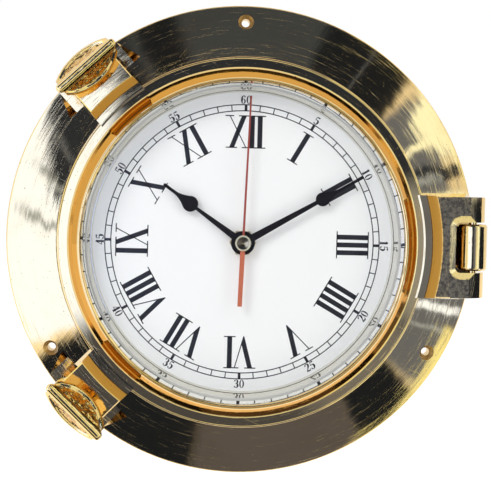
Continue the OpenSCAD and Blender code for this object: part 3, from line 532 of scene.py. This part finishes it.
# Dial printing
class Ink:
    """Flat closed shapes printed on the dial, drawn in millimetres."""

    def __init__(self):
        self.bm = bmesh.new()

    def vertex(self, point, lift):
        """A point on the dial, lifted off it."""
        x, z = point
        return self.bm.verts.new((x * MM, DIAL_FRONT - lift * MM, z * MM))

    def strip(self, left, right, closed=False):
        """A band between two rows of points, as a thin closed slab."""
        rows = [[self.vertex(p, lift) for p in side] for side in (left, right) for lift in (INK_T, -INK_SINK)]
        loop = (rows[0], rows[1], rows[3], rows[2])
        count = len(left)
        for i in range(count if closed else count - 1):
            j = (i + 1) % count
            for a, b in zip(loop, loop[1:] + loop[:1]):
                self.bm.faces.new((a[i], a[j], b[j], b[i]))
        if not closed:
            for i in (0, count - 1):
                self.bm.faces.new([row[i] for row in loop])

    def plate(self, outline):
        """A thin slab with a given outline."""
        top = [self.vertex(p, INK_T) for p in outline]
        bottom = [self.vertex(p, -INK_SINK) for p in outline]
        self.bm.faces.new(top)
        self.bm.faces.new(bottom)
        for i, a in enumerate(top):
            j = (i + 1) % len(top)
            self.bm.faces.new((a, top[j], bottom[j], bottom[i]))

    def circle(self, radius, width, steps=360):
        """A line round the dial's centre."""
        turns = [2 * math.pi * i / steps for i in range(steps)]
        sides = [[(r * math.sin(a), r * math.cos(a)) for a in turns]
                 for r in (radius - width / 2, radius + width / 2)]
        self.strip(*sides, closed=True)


def on_dial(clock, radius, inverted=False):
    """A function that takes a glyph's point to the dial, at a clock angle and radius."""
    turn = clock + DIAL_TURN
    sign = -1 if inverted else 1

    def place(point):
        x, y = point[0] * sign, radius + point[1] * sign
        return (x * math.cos(turn) + y * math.sin(turn), -x * math.sin(turn) + y * math.cos(turn))
    return place


def bar(ink, place, low, high, width):
    """A straight stroke from a low to a high point, cut off level at both ends."""
    half = width / 2
    ink.strip([place((low[0] - half, low[1])), place((high[0] - half, high[1]))],
              [place((low[0] + half, low[1])), place((high[0] + half, high[1]))])


def serif(ink, place, x, half, top):
    """A thin level stroke at the head or the foot of a letter."""
    low = NUMERAL_H - SERIF_T if top else 0.0
    high = low + SERIF_T
    ink.plate([place(p) for p in ((x - half, low), (x + half, low), (x + half, high), (x - half, high))])


def draw_i(ink, place, x, side):
    """An I, which is the same both ways round."""
    bar(ink, place, (x, 0), (x, NUMERAL_H), THICK_W)
    for top in (False, True):
        serif(ink, place, x, I_SERIF, top)


def draw_x(ink, place, x, side):
    """An X whose thick stroke falls to the right, or to the left where side is -1."""
    thick, thin = X_THICK_LEAN * side, X_THIN_LEAN * side
    bar(ink, place, (x + thick, 0), (x - thick, NUMERAL_H), THICK_W)
    bar(ink, place, (x - thin, 0), (x + thin, NUMERAL_H), THIN_W)
    for top in (False, True):
        flip = -1 if top else 1
        serif(ink, place, x + flip * thick, THICK_SERIF, top)
        serif(ink, place, x - flip * thin, THIN_SERIF, top)


def crossing(a, b, c, d):
    """Where line a-b meets line c-d."""
    run_1, run_2 = (b[0] - a[0], b[1] - a[1]), (d[0] - c[0], d[1] - c[1])
    cross = run_1[0] * run_2[1] - run_1[1] * run_2[0]
    along = ((c[0] - a[0]) * run_2[1] - (c[1] - a[1]) * run_2[0]) / cross
    return (a[0] + run_1[0] * along, a[1] + run_1[1] * along)


def draw_v(ink, place, x, side):
    """A V with its thick leg on the left, or on the right where side is -1."""
    apex, reach, tip = V_FOOT_SHIFT * side, V_LEAN * side, V_FOOT_HALF * side
    thick, thin = THICK_W / 2 * side, THIN_W / 2 * side
    outer_1, inner_1 = (x - reach - thick, NUMERAL_H), (x - reach + thick, NUMERAL_H)
    outer_2, inner_2 = (x + reach + thin, NUMERAL_H), (x + reach - thin, NUMERAL_H)
    foot_1, foot_2 = (x + apex - tip, 0.0), (x + apex + tip, 0.0)
    crotch = crossing(inner_1, (foot_1[0] + 2 * thick, 0.0), inner_2, (foot_2[0] - 2 * thin, 0.0))
    ink.plate([place(p) for p in (foot_1, foot_2, outer_2, inner_2, crotch, inner_1, outer_1)])
    serif(ink, place, x - reach, THICK_SERIF, True)
    serif(ink, place, x + reach, THIN_SERIF, True)


DRAW = {"I": draw_i, "V": draw_v, "X": draw_x}
# Half the room that a letter takes in a numeral, and half its width with its serifs
HALF_STEP = {"I": 1.875, "V": 4.375, "X": 4.95}
HALF_OUT = {"I": I_SERIF, "V": V_LEAN + THICK_SERIF, "X": X_THIN_LEAN + THIN_SERIF}
# Lower case marks a letter printed the other way round
NUMERALS = ("I", "II", "III", "IIII", "v", "VI", "VII", "VIII", "IX", "X", "xI", "xII")


def draw_numeral(ink, hour, letters):
    """An hour's letters, side by side and centred on its clock angle."""
    kinds = letters.upper()
    centres = [0.0]
    for before, after in zip(kinds, kinds[1:]):
        centres.append(centres[-1] + HALF_STEP[before] + HALF_STEP[after])
    middle = (centres[0] - HALF_OUT[kinds[0]] + centres[-1] + HALF_OUT[kinds[-1]]) / 2
    place = on_dial(math.radians(30 * hour), NUMERAL_FOOT_R)
    for letter, kind, centre in zip(letters, kinds, centres):
        DRAW[kind](ink, place, centre - middle, 1 if letter == kind else -1)


# Each digit is a list of pen strokes with points (x, y, width) in digit heights
DIGITS = {
    "1": [[(0.0, 0.02, 0.17), (0.0, 0.96, 0.17)], [(-0.19, 0.03, 0.05), (0.19, 0.03, 0.05)],
          [(-0.2, 0.80, 0.05), (-0.1, 0.86, 0.05), (-0.02, 0.97, 0.05)]],
    "2": [[(-0.16, 0.76, 0.16), (-0.19, 0.86, 0.10), (-0.02, 0.97, 0.05), (0.16, 0.88, 0.13),
           (0.17, 0.68, 0.17), (0.02, 0.42, 0.10), (-0.26, 0.08, 0.05)],
          [(-0.27, 0.06, 0.06), (-0.1, 0.09, 0.12), (0.1, 0.06, 0.12), (0.23, 0.11, 0.06),
           (0.26, 0.25, 0.04)]],
    "3": [[(-0.17, 0.79, 0.15), (-0.17, 0.90, 0.09), (-0.01, 0.97, 0.05), (0.14, 0.89, 0.12),
           (0.14, 0.66, 0.15), (0.0, 0.54, 0.05), (-0.1, 0.53, 0.04)],
          [(-0.04, 0.53, 0.04), (0.15, 0.45, 0.14), (0.18, 0.24, 0.17), (0.06, 0.05, 0.08),
           (-0.08, 0.03, 0.05), (-0.2, 0.12, 0.09), (-0.18, 0.22, 0.15)]],
    "4": [[(0.1, 0.02, 0.17), (0.1, 0.97, 0.17)], [(-0.06, 0.03, 0.05), (0.26, 0.03, 0.05)],
          [(-0.3, 0.27, 0.06), (0.3, 0.27, 0.06)], [(-0.28, 0.28, 0.05), (0.08, 0.96, 0.05)]],
    "5": [[(-0.16, 0.95, 0.04), (0.0, 0.92, 0.10), (0.14, 0.93, 0.12), (0.22, 0.98, 0.05)],
          [(-0.17, 0.95, 0.05), (-0.2, 0.50, 0.05)],
          [(-0.2, 0.50, 0.04), (-0.05, 0.60, 0.05), (0.13, 0.53, 0.14), (0.18, 0.32, 0.17),
           (0.08, 0.08, 0.09), (-0.06, 0.03, 0.05), (-0.2, 0.11, 0.09), (-0.18, 0.21, 0.15)]],
    "6": [[(0.16, 0.80, 0.15), (0.15, 0.90, 0.09), (0.03, 0.97, 0.05), (-0.14, 0.82, 0.12),
           (-0.19, 0.5, 0.17), (-0.19, 0.34, 0.16)]],
}
# Rings in a digit: centre height, outer half width and half height, inner half width and half height
BOWLS = {"0": (0.5, 0.29, 0.5, 0.12, 0.455), "6": (0.31, 0.27, 0.31, 0.10, 0.265)}


def curve_value(t, before, start, end, after):
    """A Catmull-Rom curve from start to end, at a share from 0 to 1."""
    return 0.5 * (2 * start + (end - before) * t + (2 * before - 5 * start + 4 * end - after) * t * t
                  + (3 * start - before - 3 * end + after) * t ** 3)


def smooth_stroke(points, steps=5):
    """Points on a curve through a pen stroke's points."""
    if len(points) == 2:
        return points
    ends = [points[0], *points, points[-1]]
    made = []
    for a, b, c, d in zip(ends, ends[1:], ends[2:], ends[3:]):
        for i in range(steps):
            t = i / steps
            made.append(tuple(curve_value(t, *values) for values in zip(a, b, c, d)))
    return made + [points[-1]]


def draw_stroke(ink, place, points):
    """A digit's pen stroke, whose width changes along it."""
    path = smooth_stroke(points)
    sides = ([], [])
    for i, (x, y, width) in enumerate(path):
        before, after = path[max(i - 1, 0)], path[min(i + 1, len(path) - 1)]
        along = Vector((after[0] - before[0], after[1] - before[1])).normalized()
        for side, sign in zip(sides, (-1, 1)):
            half = width / 2 * DIGIT_BOLD * sign
            side.append(place(((x - along.y * half) * DIGIT_H, (y + along.x * half - 0.5) * DIGIT_H)))
    ink.strip(*sides)


def draw_bowl(ink, place, bowl, steps=28):
    """A digit's closed ring, thick at the sides and thin above and below."""
    mid, out_x, out_y, in_x, in_y = bowl
    turns = [2 * math.pi * i / steps for i in range(steps)]
    sides = [[place((half_x * math.cos(a) * DIGIT_H, (mid - 0.5 + half_y * math.sin(a)) * DIGIT_H))
              for a in turns] for half_x, half_y in ((out_x, out_y), (in_x, in_y))]
    ink.strip(*sides, closed=True)


def draw_minutes(ink, minute):
    """A minute number outside the track, turned to read upright on the lower half."""
    inverted = 20 <= minute <= 40
    word = str(minute)
    base = on_dial(math.radians(6 * minute), DIGIT_MID_R, inverted)
    for i, digit in enumerate(word):
        shift = (i - (len(word) - 1) / 2) * DIGIT_STEP * DIGIT_H

        def place(point, shift=shift):
            return base((point[0] + shift, point[1]))
        for points in DIGITS.get(digit, ()):
            draw_stroke(ink, place, points)
        if digit in BOWLS:
            draw_bowl(ink, place, BOWLS[digit])


def print_dial(material):
    """The minute track, the hours and the minute numbers, each as one piece."""
    track, hours, minutes = Ink(), Ink(), Ink()
    for radius in (TRACK_IN_R, TRACK_OUT_R):
        track.circle(radius, TRACK_LINE)
    for minute in range(60):
        place = on_dial(math.radians(6 * minute), 0.0)
        width = TICK_W if minute % 5 else FIVE_TICK_W
        bar(track, place, (0, TRACK_IN_R), (0, TRACK_OUT_R), width)
    for hour, letters in enumerate(NUMERALS, 1):
        draw_numeral(hours, hour, letters)
    for minute in range(5, 65, 5):
        draw_minutes(minutes, minute)
    for name, ink in (("dial_track", track), ("dial_hours", hours), ("dial_minutes", minutes)):
        mesh_object(name, ink.bm, material, "root")


# Studio: the even light on the object, beside a white that the camera and the metal see
WORLD_LIGHT = 0.89


def direction(clock, tilt):
    """Towards a clock angle, tilted off the dial's axis, both in degrees."""
    clock, tilt = math.radians(clock), math.radians(tilt)
    return Vector((math.sin(tilt) * math.sin(clock), -math.cos(tilt), math.sin(tilt) * math.cos(clock)))


def look(yaw, pitch):
    """Towards an angle right of and above the dial's axis, both in degrees."""
    yaw, pitch = math.radians(yaw), math.radians(pitch)
    return Vector((math.sin(yaw) * math.cos(pitch), -math.cos(yaw) * math.cos(pitch), math.sin(pitch)))


def soft_glow(name, radiance, feather):
    """Light that fades out towards the edges of a card."""
    material, tree = empty_material(name)
    u, v, _ = tree.parts(tree.add("ShaderNodeTexCoord").outputs["UV"])
    share = 1.0
    for place, width in zip((u, v), feather):
        if width:
            edge = tree.math("MINIMUM", place, tree.math("SUBTRACT", 1.0, place))
            share = tree.math("MULTIPLY", share, tree.ramp(edge, 0.0, width))
    light = tree.add("ShaderNodeEmission", Color=colour(radiance), Strength=1.0)
    mix_shaders(tree, share, tree.add("ShaderNodeBsdfTransparent"), light)
    return material


def studio_card(name, point, radiance, distance, feather, steps):
    """A curved card that only reflections see, at a distance in metres, where a nearer card hides a
    farther one; point gives its direction at two shares from 0 to 1."""
    bm = bmesh.new()
    uv = bm.loops.layers.uv.new("UVMap")
    columns, rows = steps
    grid = [[bm.verts.new(point(i / columns, j / rows) * distance) for j in range(rows + 1)]
            for i in range(columns + 1)]
    for i in range(columns):
        for j in range(rows):
            corners = ((i, j), (i + 1, j), (i + 1, j + 1), (i, j + 1))
            face = bm.faces.new([grid[a][b] for a, b in corners])
            for loop, (a, b) in zip(face.loops, corners):
                loop[uv].uv = (a / columns, b / rows)
    mesh = bpy.data.meshes.new(name)
    bm.to_mesh(mesh)
    bm.free()
    mesh.materials.append(soft_glow(name, radiance, feather))
    obj = link(bpy.data.objects.new(name, mesh))
    for ray in ("camera", "diffuse", "transmission", "shadow", "volume_scatter"):
        setattr(obj, "visible_" + ray, False)


def ring_card(name, inner, outer, tilts, radiance, distance=1.3, feather=(0.0, 0.0)):
    """A card round the dial's axis, between clock angles at its inner and its outer edge, in degrees."""
    def point(across, out):
        start = inner[0] + (outer[0] - inner[0]) * out
        end = inner[1] + (outer[1] - inner[1]) * out
        return direction(start + (end - start) * across, tilts[0] + (tilts[1] - tilts[0]) * out)
    wide = max(abs(inner[1] - inner[0]), abs(outer[1] - outer[0]))
    steps = (max(2, round(wide / 4)), max(2, round((tilts[1] - tilts[0]) / 4)))
    studio_card(name, point, radiance, distance, feather, steps)


def side_card(name, yaws, pitches, radiance, distance=1.3, feather=(0.0, 0.0)):
    """A card in front, between two angles right of the axis and two above it, in degrees."""
    def point(across, up):
        return look(yaws[0] + (yaws[1] - yaws[0]) * across, pitches[0] + (pitches[1] - pitches[0]) * up)
    steps = (max(2, round((yaws[1] - yaws[0]) / 4)), max(2, round((pitches[1] - pitches[0]) / 4)))
    studio_card(name, point, radiance, distance, feather, steps)


# Light of the cards; all but the yellow have extra blue, because brass takes it away
BLACK = (0.014, 0.020, 0.042)
DARK = (0.030, 0.042, 0.090)
OLIVE = (0.060, 0.083, 0.160)
BROWN = (0.120, 0.130, 0.215)
GREY = (0.170, 0.220, 0.420)
SILVER = (0.420, 0.560, 1.000)
COOL_WHITE = (1.30, 1.72, 3.3)
WARM_WHITE = (1.30, 1.55, 1.80)
YELLOW = (1.25, 1.35, 0.95)
# Distance at which a card of the lower half still hangs above the floor
NEAR = 0.40


def front_cards():
    """What the flat faces and the shoulder mirror: dark flags in front and bright cards at both sides."""
    ring_card("front_flag", (0, 360), (0, 360), (0.1, 36), DARK, 1.60)
    ring_card("front_low", (120, 240), (120, 240), (14, 35), (0.080, 0.095, 0.165), 0.80, (0.1, 0.1))
    side_card("right_near", (6, 20), (-12, 5), GREY, 1.55, (0.3, 0.15))
    side_card("right_far", (18, 36), (-14, 7), (0.36, 0.43, 0.66), 1.20, (0.2, 0.2))
    side_card("right_low", (8, 30), (-27, -12), (0.21, 0.24, 0.38), 0.78, (0.2, 0.2))
    side_card("left_strip", (-15, -7), (-9, 13), COOL_WHITE, 0.95, (0.06, 0.05))
    side_card("left_near", (-36, -12), (-23, 15), COOL_WHITE, 0.94, (0.05, 0.08))
    side_card("left_low", (-14, -6), (-27, -17), SILVER, 0.93, (0.3, 0.2))
    side_card("left_far", (-88, -35), (-24, 24), WARM_WHITE, 0.90, (0.02, 0.12))


def cone_cards():
    """What the door's inner cone mirrors: a nearly white ring."""
    cone = (34, 57)
    ring_card("ring_all", (0, 360), (0, 360), cone, (1.0, 1.0, 0.9), 0.50)
    ring_card("ring_right", (10, 150), (10, 150), cone, (0.95, 1.05, 0.95), 0.47, (0.08, 0.0))
    ring_card("ring_low", (140, 215), (140, 215), cone, (0.85, 0.90, 0.80), 0.46, (0.10, 0.0))


def flange_cards():
    """What the flange's slope mirrors round the clock, with streaks of light on the dark parts."""
    flange = (56, 88)
    ring_card("flange_top", (322, 388), (322, 388), flange, OLIVE, 1.30, (0.06, 0.0))
    ring_card("flange_top_dark", (331, 346), (331, 344), flange, BLACK, 1.29, (0.2, 0.0))
    ring_card("flange_top_right", (22, 54), (22, 47), flange, BLACK, 1.28, (0.10, 0.0))
    ring_card("flange_glint", (36.5, 37.3), (37.5, 38), flange, GREY, 1.27, (0.4, 0.0))
    ring_card("flange_right", (50, 84), (50, 84), (56, 74), GREY, 1.27, (0.10, 0.12))
    ring_card("flange_cream", (58, 63), (42, 86), (67, 90), WARM_WHITE, 1.24, (0.10, 0.12))
    ring_card("flange_rim", (28, 80), (28, 80), (78, 90), YELLOW, 1.23, (0.06, 0.2))
    ring_card("flange_streak_1", (67, 77), (73, 76), (56, 79), DARK, 1.22, (0.2, 0.1))
    ring_card("flange_streak_2", (71, 73), (73, 77), (56, 70), SILVER, 1.21, (0.3, 0.1))
    ring_card("flange_streak_9", (64, 66), (61, 65), (56, 80), WARM_WHITE, 1.20, (0.3, 0.2))
    ring_card("flange_streak_10", (77, 80), (79, 84), (58, 80), WARM_WHITE, 1.20, (0.3, 0.2))
    ring_card("flange_hinge", (84, 132), (84, 132), flange, GREY, 0.44, (0.10, 0.0))
    ring_card("hinge_dark", (86, 101), (86, 101), (58, 90), BLACK, 0.40, (0.1, 0.0))
    ring_card("flange_streak_3", (104, 107), (103, 105), (56, 80), COOL_WHITE, 0.43, (0.3, 0.1))
    side_card("bevel_glow", (42, 62), (-16, 10), WARM_WHITE, 0.45, (0.06, 0.06))
    ring_card("flange_streak_4", (109, 112), (107, 110), (58, 82), COOL_WHITE, 0.43, (0.3, 0.1))
    ring_card("flange_streak_5", (116, 117), (113, 115), (60, 80), SILVER, 0.43, (0.3, 0.1))
    ring_card("flange_low_rim", (112, 118), (112, 142), (78, 82), YELLOW, 0.395, (0.1, 0.15))
    ring_card("flange_low_edge", (112, 152), (112, 158), (81, 92), YELLOW, 0.39, (0.15, 0.1))
    ring_card("flange_low_right", (126, 147), (130, 152), flange, BLACK, NEAR + 0.02, (0.14, 0.0))
    ring_card("flange_low", (143, 192), (147, 192), flange, BROWN, NEAR + 0.01, (0.06, 0.0))
    ring_card("flange_low_left", (188, 240), (188, 238), flange, BLACK, NEAR, (0.06, 0.0))
    ring_card("flange_left", (238, 268), (240, 330), flange, COOL_WHITE, NEAR, (0.04, 0.0))
    ring_card("flange_left_rim", (240, 300), (240, 305), (78, 90), YELLOW, NEAR - 0.01, (0.1, 0.2))
    ring_card("flange_wedge", (264, 331), (326, 331), flange, DARK, NEAR - 0.02, (0.05, 0.0))
    ring_card("flange_streak_6", (267, 270), (274, 280), (58, 76), SILVER, NEAR - 0.03, (0.4, 0.3))
    ring_card("flange_streak_7", (279, 282), (288, 292), (58, 74), SILVER, NEAR - 0.03, (0.4, 0.3))
    ring_card("flange_streak_8", (290, 291.5), (298, 302), (58, 74), GREY, NEAR - 0.03, (0.4, 0.3))


FLOOR_HALF = 6.0
FLOOR_LEVEL = -0.45
FLOOR_GLOW = 0.35


def make_floor():
    """A pale floor well below the clock."""
    corners = ((-FLOOR_HALF, -FLOOR_HALF), (FLOOR_HALF, -FLOOR_HALF), (FLOOR_HALF, FLOOR_HALF),
               (-FLOOR_HALF, FLOOR_HALF))
    bm = bmesh.new()
    bm.faces.new([bm.verts.new((x, y, FLOOR_LEVEL)) for x, y in corners])
    mesh = bpy.data.meshes.new("floor")
    bm.to_mesh(mesh)
    bm.free()
    material, tree, surface = shader("floor", 0.9)
    surface.inputs["Base Color"].default_value = (0.92, 0.92, 0.92, 1.0)
    surface.inputs["Specular IOR Level"].default_value = 0.0
    surface.inputs["Emission Color"].default_value = (1.0, 1.0, 1.0, 1.0)
    tree.put(surface.inputs["Emission Strength"], tree.math("MULTIPLY", seen_directly(tree), FLOOR_GLOW))
    mesh.materials.append(material)
    floor = link(bpy.data.objects.new("floor", mesh))


def seen_directly(tree):
    """1 where the camera, metal or glass sees the surface, 0 where it only gives light."""
    path = tree.add("ShaderNodeLightPath").outputs
    return tree.math("MAXIMUM", path["Is Camera Ray"],
                     tree.math("MAXIMUM", path["Is Glossy Ray"], path["Is Transmission Ray"]))


def make_world():
    """White where the camera, metal or glass sees it, and a soft even light elsewhere."""
    world = bpy.data.worlds.new("studio")
    bpy.context.scene.world = world
    world.use_nodes = True
    tree = Nodes(world.node_tree)
    world.node_tree.nodes.clear()
    strength = tree.ramp(seen_directly(tree), 0.0, 1.0, WORLD_LIGHT, 1.0)
    light = tree.add("ShaderNodeBackground", Color=(1.0, 1.0, 1.0, 1.0))
    tree.put(light.inputs["Strength"], strength)
    out = tree.add("ShaderNodeOutputWorld")
    tree.put(out.inputs["Surface"], light.outputs[0])


def lamp(name, clock, tilt, distance, size, power):
    """A soft square lamp that shines at the dial's centre and has no mirror image."""
    data = bpy.data.lights.new(name, "AREA")
    data.shape = "SQUARE"
    data.size = size
    data.energy = power
    obj = link(bpy.data.objects.new(name, data))
    toward = direction(clock, tilt)
    obj.location = toward * distance
    obj.rotation_euler = toward.to_track_quat("Z", "Y").to_euler()
    obj.visible_glossy = False


def make_lights():
    """A key lamp at the upper left and a weaker, larger one at the right."""
    lamp("key", clock=315, tilt=42, distance=1.2, size=0.45, power=4.6)
    lamp("fill", clock=80, tilt=55, distance=1.4, size=0.9, power=3.0)


def paint(material, *names):
    """Gives CAD nodes a material."""
    for name in names:
        slots = nodes[name].data.materials
        slots.clear()
        slots.append(material)


# Clock angles of the thumb nuts, the radius they stand on, and their bow, in degrees and millimetres
UPPER_NUT_CLOCK = 317.5
LOWER_NUT_CLOCK = 225.0
NUT_R = 108.5
BOW_W = 34.4
BOW_DEPTH = 14.0
BOW_END = 2.6
BOW_RIM = 1.7
BOW_RIM_TOP = 3.4
# Rounding of its edges, crown with its limit in square millimetres, and relief left by the mould
NUT_VOXEL = 0.3 * MM
NUT_SMOOTHING = 7
NUT_CROWN = 0.13
NUT_CROWN_LIMIT = 8.0
NUT_LUMP = 3.4 * MM
NUT_SMOOTH_RELIEF = 0.06 * MM
NUT_DISH_RELIEF = 0.42 * MM


def blend_step(value, low, high):
    """A smooth step from 0 to 1 between two values."""
    share = max(0.0, min(1.0, (value - low) / (high - low)))
    return share * share * (3.0 - 2.0 * share)


def rounded_casting(node):
    """A CAD node's mesh with the rounded edges of a polished casting."""
    work = link(bpy.data.objects.new(node + "_work", nodes[node].data.copy()))
    remesh = work.modifiers.new("remesh", "REMESH")
    remesh.mode = "VOXEL"
    remesh.voxel_size = NUT_VOXEL
    smooth = work.modifiers.new("smooth", "SMOOTH")
    smooth.iterations = NUT_SMOOTHING
    bpy.context.view_layer.update()
    shown = work.evaluated_get(bpy.context.evaluated_depsgraph_get())
    mesh = bpy.data.meshes.new_from_object(shown)
    mesh.name = node + "_cast"
    bpy.data.objects.remove(work)
    return mesh


def dish_shares(mesh, normals, outward, along, top):
    """For each point of a thumb nut, 1 inside a dish and 0 on the rims and edges."""
    rise = BOW_DEPTH - BOW_END
    belly_r = ((BOW_W / 2) ** 2 + rise ** 2) / (2 * rise)
    belly_h = top - BOW_DEPTH + belly_r
    shares = []
    for vertex, normal in zip(mesh.vertices, normals):
        across, height = vertex.co.dot(along) / MM, -vertex.co.y / MM
        inside = belly_r - math.hypot(across, height - belly_h)
        shares.append(blend_step(inside, BOW_RIM - 0.1, BOW_RIM + 0.5)
                      * blend_step(top - height, BOW_RIM_TOP, BOW_RIM_TOP + 0.7)
                      * blend_step(abs(normal.dot(outward)), 0.35, 0.6))
    return shares


def make_nut(node, clock, body, material):
    """A thumb nut with the rounded edges of a polished casting and a rough dish in each side."""
    mesh = rounded_casting(node)
    turn = math.radians(clock)
    outward = Vector((math.sin(turn), 0.0, math.cos(turn)))
    along = Vector((math.cos(turn), 0.0, -math.sin(turn)))
    top = -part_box(node)[0].y / MM
    normals = [vertex.normal.copy() for vertex in mesh.vertices]
    shares = dish_shares(mesh, normals, outward, along, top)
    for vertex, normal, share in zip(mesh.vertices, normals, shares):
        lump = noise.fractal(vertex.co / NUT_LUMP, 0.9, 2.0, 2, noise_basis="PERLIN_ORIGINAL")
        vertex.co += normal * lump * (NUT_SMOOTH_RELIEF + NUT_DISH_RELIEF * share)
        side = vertex.co.dot(outward) / MM - NUT_R
        crown = blend_step(-vertex.co.y / MM, top - 2.5, top - 0.5)
        vertex.co.y += min(side * side, NUT_CROWN_LIMIT) * NUT_CROWN * crown * MM
    mesh.attributes.new("dish", "FLOAT", "POINT").data.foreach_set("value", shares)
    mesh.polygons.foreach_set("use_smooth", [True] * len(mesh.polygons))
    mesh.materials.clear()
    mesh.materials.append(material)
    obj = link(bpy.data.objects.new(node + "_cast", mesh))
    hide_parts(node)
    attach(obj, body)


# The flange's slightly crowned front falls with the square of the distance from a radius
FLANGE_CROWN = 2.6
FLANGE_CROWN_R = 102.5 * MM


def paint_all():
    """Materials of all CAD nodes, and the thumb nuts' castings."""
    flange_brass = polished_brass("flange_brass", 0.08, 0.20 * MM, 0.035 * MM, FLANGE_CROWN, FLANGE_CROWN_R)
    door_brass = polished_brass("door_brass", 0.06, 0.05 * MM, 0.008 * MM, door=True)
    fitting_brass = polished_brass("fitting_brass", 0.08, 0.02 * MM, 0.004 * MM)
    steel = plain("steel", (0.62, 0.61, 0.60), 0.25, 1.0)
    pale_metal = plain("pale_metal", (0.77, 0.75, 0.67), 0.06, 0.8, spread=0.03, depth=0.002 * MM)
    paint(flange_brass, "base_flange")
    paint(door_brass, "bezel_ring")
    paint(fitting_brass, "upper_stem", "lower_stem", "hinge_pin", "hand_nut", "dial_screws",
          "minute_arbor", "second_arbor")
    paint(pale_metal, "dial_ring")
    paint(retainer_metal(), "glass_retainer")
    paint(glass(), "door_glass")
    paint(dial_white(), "dial_plate")
    paint(hand_paint(), "hour_hand", "minute_hand")
    paint(cap_brass(), "second_cap")
    paint(plain("nut_gold", (0.86, 0.66, 0.34), 0.35, 1.0), "dial_nut")
    paint(red_paint(), "second_hand")
    paint(plain("rubber", (0.02, 0.02, 0.02), 0.7), "door_gasket", "glass_gasket", "dial_washer")
    paint(steel, "upper_stem_clip", "lower_stem_clip", "positive_contact", "negative_contact")
    paint(plain("case_plastic", (0.025, 0.025, 0.027), 0.45), "movement_case", "rear_cover")
    paint(plain("gear_plastic", (0.80, 0.78, 0.72), 0.4), "motion_wheel", "hour_wheel", "setting_knob")
    paint(plain("board_green", (0.02, 0.12, 0.04), 0.35), "circuit_board")
    paint(coil_copper(), "drive_coil")
    paint(battery_sleeve(), "battery")
    nut_brass = cast_brass("nut_brass", 0.07)
    make_nut("upper_thumb_nut", UPPER_NUT_CLOCK, "upper_screw", nut_brass)
    make_nut("lower_thumb_nut", LOWER_NUT_CLOCK, "lower_screw", nut_brass)


make_camera()
print_dial(printing_ink())
paint_all()
make_world()
make_floor()
front_cards()
cone_cards()
flange_cards()
make_lights()
bpy.context.scene.view_settings.view_transform = "Standard"
